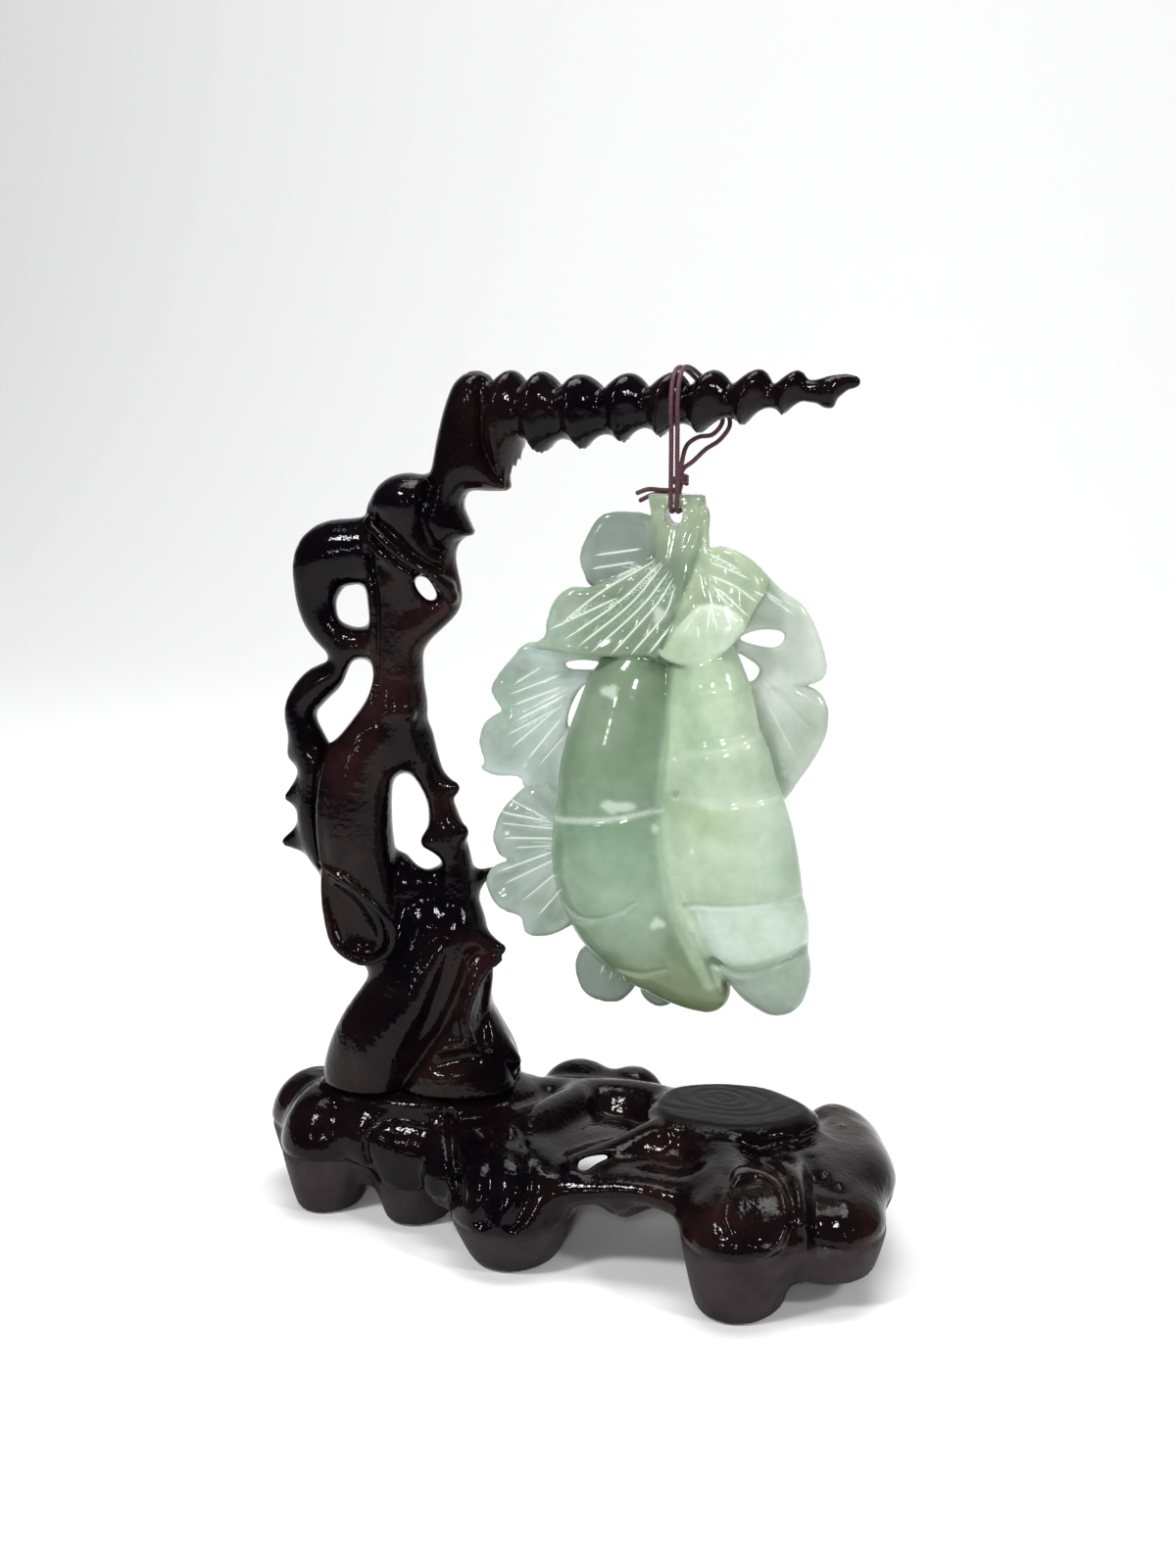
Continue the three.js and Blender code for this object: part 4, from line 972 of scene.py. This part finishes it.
def carve_leaf(name):
    """Adds a leaf to the pendant as a thin pleated plate, and its colour to the front view."""
    tint, stem, y, lean, thickness, curl, pleats, outline = leaves[name]
    away_x, away_z = flat_x - stem[0], flat_z - stem[1]
    depth_in = depth_inside(outline, flat_x, flat_z)
    inner = np.clip(depth_in / edge_width, 0, 1)
    half = thickness / 2 * np.sqrt(np.clip(1 - (1 - inner) ** 2, 0, 1))
    middle = y + away_x * lean[0] + away_z * lean[1]
    middle = middle + curl * (1 - np.clip(depth_in / curl_width, 0, 1)) ** 2
    if pleats:
        fan = np.arctan2(away_x, -away_z)
        grown = np.clip(np.hypot(away_x, away_z) / pleat_reach, 0, 1)
        middle = middle + pleat_height * np.cos(fan * pleats * pleat_spread) * grown
    front = middle - half + stroke_cut * stroke_depth
    back = middle + half
    rise = np.gradient(front, jade_voxel)
    slope = np.sqrt(1 + np.minimum(rise[0] ** 2 + rise[1] ** 2, 9))[:, None, :]
    gap = np.maximum(front[:, None, :] - jy[None, :, None], jy[None, :, None] - back[:, None, :]) / slope
    gap = np.maximum(gap, -depth_in[:, None, :])
    jade["field"] = melt(jade["field"], gap.astype(np.float32), 0.8)
    tint_over(np.clip(depth_in / tint_edge + 0.5, 0, 1), tint)


for name in back_leaves:
    carve_leaf(name)
# Places where the leaves are thin and look dimmer: x, z, how wide and how much.
for x, z, spread, share in [
        (-27, 201, 8, 0.4), (-31, 174, 7, 0.35), (-14, 172, 7, 0.25), (-26, 150, 7, 0.35),
        (-29, 122, 7, 0.3), (-12, 112, 6, 0.25), (70, 212, 8, 0.2), (74, 186, 8, 0.2)]:
    tint_over(share * np.exp(-((flat_x - x) ** 2 + (flat_z - z) ** 2) / spread ** 2), dim_leaf)
grow(jade, core, blend=2.0)
grow(jade, shoulders, blend=2.0)
for outline in jade_holes:
    pierce(jade, outline, blend=1.5)


def cover_of(rows):
    """Where a limb shows in the front view, from 0 to 1."""
    cuts, field = limb_field(jade, rows, 3)
    cover = np.zeros(flat_x.shape, np.float32)
    cover[cuts[0], cuts[2]] = np.clip(0.5 - field.min(axis=1) / tint_edge, 0, 1)
    return cover


# The left gourd is deep green, more shaded at its top and olive towards its tip.
grow(jade, left_gourd, blend=0.8)
covered = cover_of(left_gourd)
tint_over(covered, deep_green)
tint_over(covered * np.clip((flat_z - 150) / 40, 0, 1) * 0.6, shaded_green)
low_part = np.clip((110 - flat_z + 0.25 * (flat_x - 20)) / 16, 0, 1)
tint_over(covered * np.clip((126 - flat_z) / 14, 0, 1) * 0.35, shaded_green)
tint_over(covered * low_part, olive_green)

# The right gourd is pale, milky below a ragged edge and nearly white towards its tip.
grow(jade, right_gourd, blend=0.8)
covered = cover_of(right_gourd)
tint_over(covered, light_green)
streak = 2.2 * np.sin(flat_x * 0.9) + 1.2 * np.sin(flat_x * 2.3 + 1)
pale_edge = np.interp(flat_x, [33, 38, 47, 51, 55, 60], [173.5, 179.3, 183.4, 188.2, 198, 206]) + streak * 0.5
tint_over(covered * np.clip((pale_edge - flat_z) / tint_edge + 0.5, 0, 1), milky_green)
yellow_part = np.exp(-((flat_z - 154) / 7) ** 2 - ((flat_x - 42) / 12) ** 2)
tint_over(covered * 0.55 * yellow_part, yellow_green)
milky_side = np.clip((flat_x - 54) / 16, 0, 1) * np.clip((196 - flat_z) / 20, 0, 1)
tint_over(covered * 0.5 * milky_side, white_green)
blade_side = np.interp(flat_z, [97, 109, 121, 134], [49, 45.4, 40.4, 37])
right_of_blade = np.clip((flat_x - blade_side + 1) / 2, 0, 1)
white_edge = np.interp(flat_x, [34, 54, 76], [124.0, 126.4, 129.0])
below_edge = np.clip((white_edge - flat_z) / tint_edge + 0.5, 0, 1)
tint_over(covered * below_edge * right_of_blade, white_green)
tip_edge = np.interp(flat_x, [46, 54, 62, 78], [104, 102.5, 104, 111])
below_edge = np.clip((tip_edge - flat_z) / 1.5 + 0.5, 0, 1)
tint_over(covered * below_edge * right_of_blade, shaded_white)
grow(jade, blade, blend=3.0)
tint_over(0.6 * cover_of(blade), light_green)
carve_leaf("right")
carve_leaf("upper_front")
# The front leaf's lower left corner faces down and falls in shade, so a lighter green is painted over it
# there as painted light.
painted_light_corner = np.clip((4 - flat_x) / 14, 0, 1) * np.clip((flat_z - 208) / 2, 0, 1)
tint_over(0.65 * painted_light_corner, painted_light_green)
carve_leaf("petal")
cuts, field = limb_field(jade, tab, 6)
field = np.maximum(field, jz[None, None, cuts[2]] - tab_top)
jade["field"][cuts] = melt(jade["field"][cuts], field.astype(np.float32), 2.0)
tint_over(np.clip((flat_z - 240) / 16, 0, 1) * np.clip((flat_x - 20) / 3, 0, 1), neck_green)

# Grooves and folds across the gourds: line, width, depth, and how white the stone is along it.
groove_lines = [
    ([(-9.6, 151.3), (1.1, 152.8), (12.0, 154.2), (29.2, 157.6)], 0.7, 0.9, 0.9),
    ([(-6.4, 121.8), (-2.1, 118.4), (5.8, 118.1), (14.4, 121.0), (20.6, 125.1)], 0.7, 0.9, 0.35),
    ([(-2.9, 115.9), (2.6, 116.0), (10.5, 119.2)], 0.6, 0.6, 0.3),
    ([(13.7, 99.6), (21.6, 99.0), (30.9, 101.4)], 1.0, 1.0, 0.2),
    ([(32.2, 162.9), (47.1, 161.6), (66, 163.4)], 1.1, 0.7, 0.3),
    ([(36, 124.2), (53.7, 126.2), (74.5, 128.4)], 0.8, 0.8, 0.45),
    ([(46, 104.0), (54, 102.5), (61.8, 104.0), (78, 111.0)], 1.5, 2.2, 0.1),
    ([(33, 176.0), (42, 178), (52.8, 180.2), (60, 183.3)], 0.8, 0.4, 0.25),
    ([(33.7, 135.6), (36.9, 124.8), (40.4, 112.3)], 0.6, 0.7, 0.5),
    ([(39.3, 113.8), (44.9, 103.0), (48.1, 93)], 0.8, 0.9, 0.3),
]
# The folds of the neck: line, width, depth and how far back they reach.
neck_folds = [
    ([(39.8, 254), (39.2, 243.5), (35.7, 231.7), (31.3, 219.7), (28, 211)], 0.9, 1.0, -3),
    ([(36.9, 251), (32.6, 240.4), (26.7, 230.0)], 1.0, 0.7, -3),
    ([(24.3, 250), (23, 244.6), (25.5, 234)], 0.9, 0.7, -2),
]
for line, width, depth, _ in groove_lines:
    engrave(jade, line, width, depth, near=-30, far=-6)
for line, width, depth, far in neck_folds:
    engrave(jade, line, width, depth, near=-30, far=far)
bore_x, bore_z = 30, 254.6
bore_half_width, bore_half_height = 2.9, 3.4
off_x = (jx[:, None, None] - bore_x) / bore_half_width
off_z = (jz[None, None, :] - bore_z) / bore_half_height
bore = (1 - np.sqrt(off_x ** 2 + off_z ** 2)) * bore_half_width
jade["field"] = np.maximum(jade["field"], np.broadcast_to(bore, jade["field"].shape)).astype(np.float32)

# White marks in the stone: the strokes, some of the grooves, and a few blotches.
white_marks = stroke_cut * 0.1
for line, width, _, whiteness in groove_lines:
    white_marks = np.maximum(white_marks, whiteness * np.exp(-(near_line(line) / width) ** 2))
for x, z, half_width, half_height in [
        (13.5, 158.6, 6.5, 2.2), (11.0, 196.8, 3.4, 2.4), (26.6, 150.9, 1.3, 1.6), (27.7, 117.9, 2.6, 2.0),
        (26.5, 222.6, 2.4, 3.0), (39.7, 144.6, 1.0, 1.2), (68, 168.6, 1.4, 1.0), (67, 171.5, 0.8, 0.8)]:
    edge = 1 + 0.25 * np.sin(3 * np.arctan2(flat_z - z, flat_x - x) + x)
    spread = np.sqrt(((flat_x - x) / half_width) ** 2 + ((flat_z - z) / half_height) ** 2) / edge
    white_marks = np.maximum(white_marks, 0.6 * np.clip((1 - spread) * 4, 0, 1))

pendant, jade_points = surface(jade, "jade_pendant_carved")


def sampled(chart, points):
    """The values of a front view chart at points of the surface."""
    place = (points[:, [0, 2]] - jade["low"][[0, 2]]) / jade_voxel
    whole = np.clip(np.floor(place).astype(int), 0, np.array(chart.shape[:2]) - 2)
    share = np.clip(place - whole, 0, 1)
    if chart.ndim == 3:
        share = share[:, :, None]
    a, b = share[:, 0], share[:, 1]
    i, k = whole[:, 0], whole[:, 1]
    return (chart[i, k] * (1 - a) * (1 - b) + chart[i + 1, k] * a * (1 - b)
            + chart[i, k + 1] * (1 - a) * b + chart[i + 1, k + 1] * a * b)


front_side = np.clip(-jade_points[:, 1] / 2, 0, 1)
paint(pendant, "vein", sampled(white_marks, jade_points) * front_side)

# A stroke is drawn by how far each point lies to one side of it, which stays sharp between the mesh's points.
flat = jade_points[:, [0, 2]]
far_off = 9.0
nearest = np.full(len(flat), far_off)
stroke_side = np.full(len(flat), far_off)
for stroke in strokes:
    run = evenly(through(stroke, 5), 1.5)
    close = np.nonzero(((flat > run.min(axis=0) - 2) & (flat < run.max(axis=0) + 2)).all(axis=1))[0]
    for k, (start, end) in enumerate(zip(run[:-1], run[1:])):
        step = end - start
        offset = flat[close] - start
        share = np.clip(offset @ step / (step @ step), 0, 1)
        gap = np.hypot(*(offset - share[:, None] * step).T)
        side = np.where(step[0] * offset[:, 1] > step[1] * offset[:, 0], 1.0, -1.0)
        along = (k + share) / (len(run) - 1)
        taper = np.clip(3.0 * np.sqrt(np.clip(along * (1 - along), 0, 1)), 0.35, 1)
        better = gap < nearest[close]
        nearest[close[better]] = gap[better]
        stroke_side[close[better]] = (side * gap / taper)[better]
paint(pendant, "stroke_side", stroke_side)
paint(pendant, "stroke_near", np.clip(1.8 - 1.2 * nearest, 0, 1) * front_side)
colours = np.ones((len(jade_points), 4), np.float32)
colours[:, :3] = sampled(tints, jade_points)
layer = pendant.data.attributes.new("tint", "FLOAT_COLOR", "POINT")
layer.data.foreach_set("color", colours.ravel())

stroke_half_width = 0.34
stroke_whiteness = 0.78
dark_cloud = (0.73, 0.80, 0.71)
middle_cloud = (1.02, 1.03, 1.01)
light_cloud = (1.32, 1.26, 1.31)


def value_node(tree, operation, *values):
    """A maths node fed with values or with other nodes' outputs."""
    node = tree.nodes.new("ShaderNodeMath")
    node.operation = operation
    for socket, value in zip(node.inputs, values):
        feed(tree, socket, value)
    return node


polished_jade, tree, shader = with_nodes("polished_jade")
clouds = ramp(tree, noise(tree, 45.0, 4.0, 0.6).outputs["Fac"], [
    (0.3, dark_cloud), (0.5, middle_cloud), (0.7, light_cloud)])
stone = mixed(tree, 1.0, painted(tree, "tint").outputs["Color"], clouds.outputs["Color"], "MULTIPLY")
off_line = value_node(tree, "ABSOLUTE", painted(tree, "stroke_side").outputs["Fac"])
line = value_node(tree, "MULTIPLY_ADD", off_line.outputs[0], -1.0 / stroke_half_width, 1.5)
line.use_clamp = True
drawn_line = value_node(tree, "MULTIPLY", line.outputs[0], painted(tree, "stroke_near").outputs["Fac"])
white = value_node(tree, "MAXIMUM", drawn_line.outputs[0], painted(tree, "vein").outputs["Fac"])
white_share = value_node(tree, "MULTIPLY", white.outputs[0], stroke_whiteness)
facets = bump(tree, noise(tree, 70.0, 1.0).outputs["Fac"], 0.25, 0.0012)
cut_line = bump(tree, drawn_line.outputs[0], 0.4, -0.0003)
tree.links.new(facets.outputs["Normal"], cut_line.inputs["Normal"])
dress(tree, shader, {
    "Base Color": mixed(tree, white_share.outputs[0], stone, (*pale_stroke, 1.0)),
    "Normal": cut_line.outputs["Normal"],
    "Roughness": 0.12,
    "Specular IOR Level": 0.38,
    "Subsurface Weight": 0.55,
    "Subsurface Radius": (0.8, 1.0, 0.8),
    "Subsurface Scale": 0.004,
})

pendant.data.materials.append(polished_jade)
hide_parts("jade_pendant")
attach(pendant, "root")
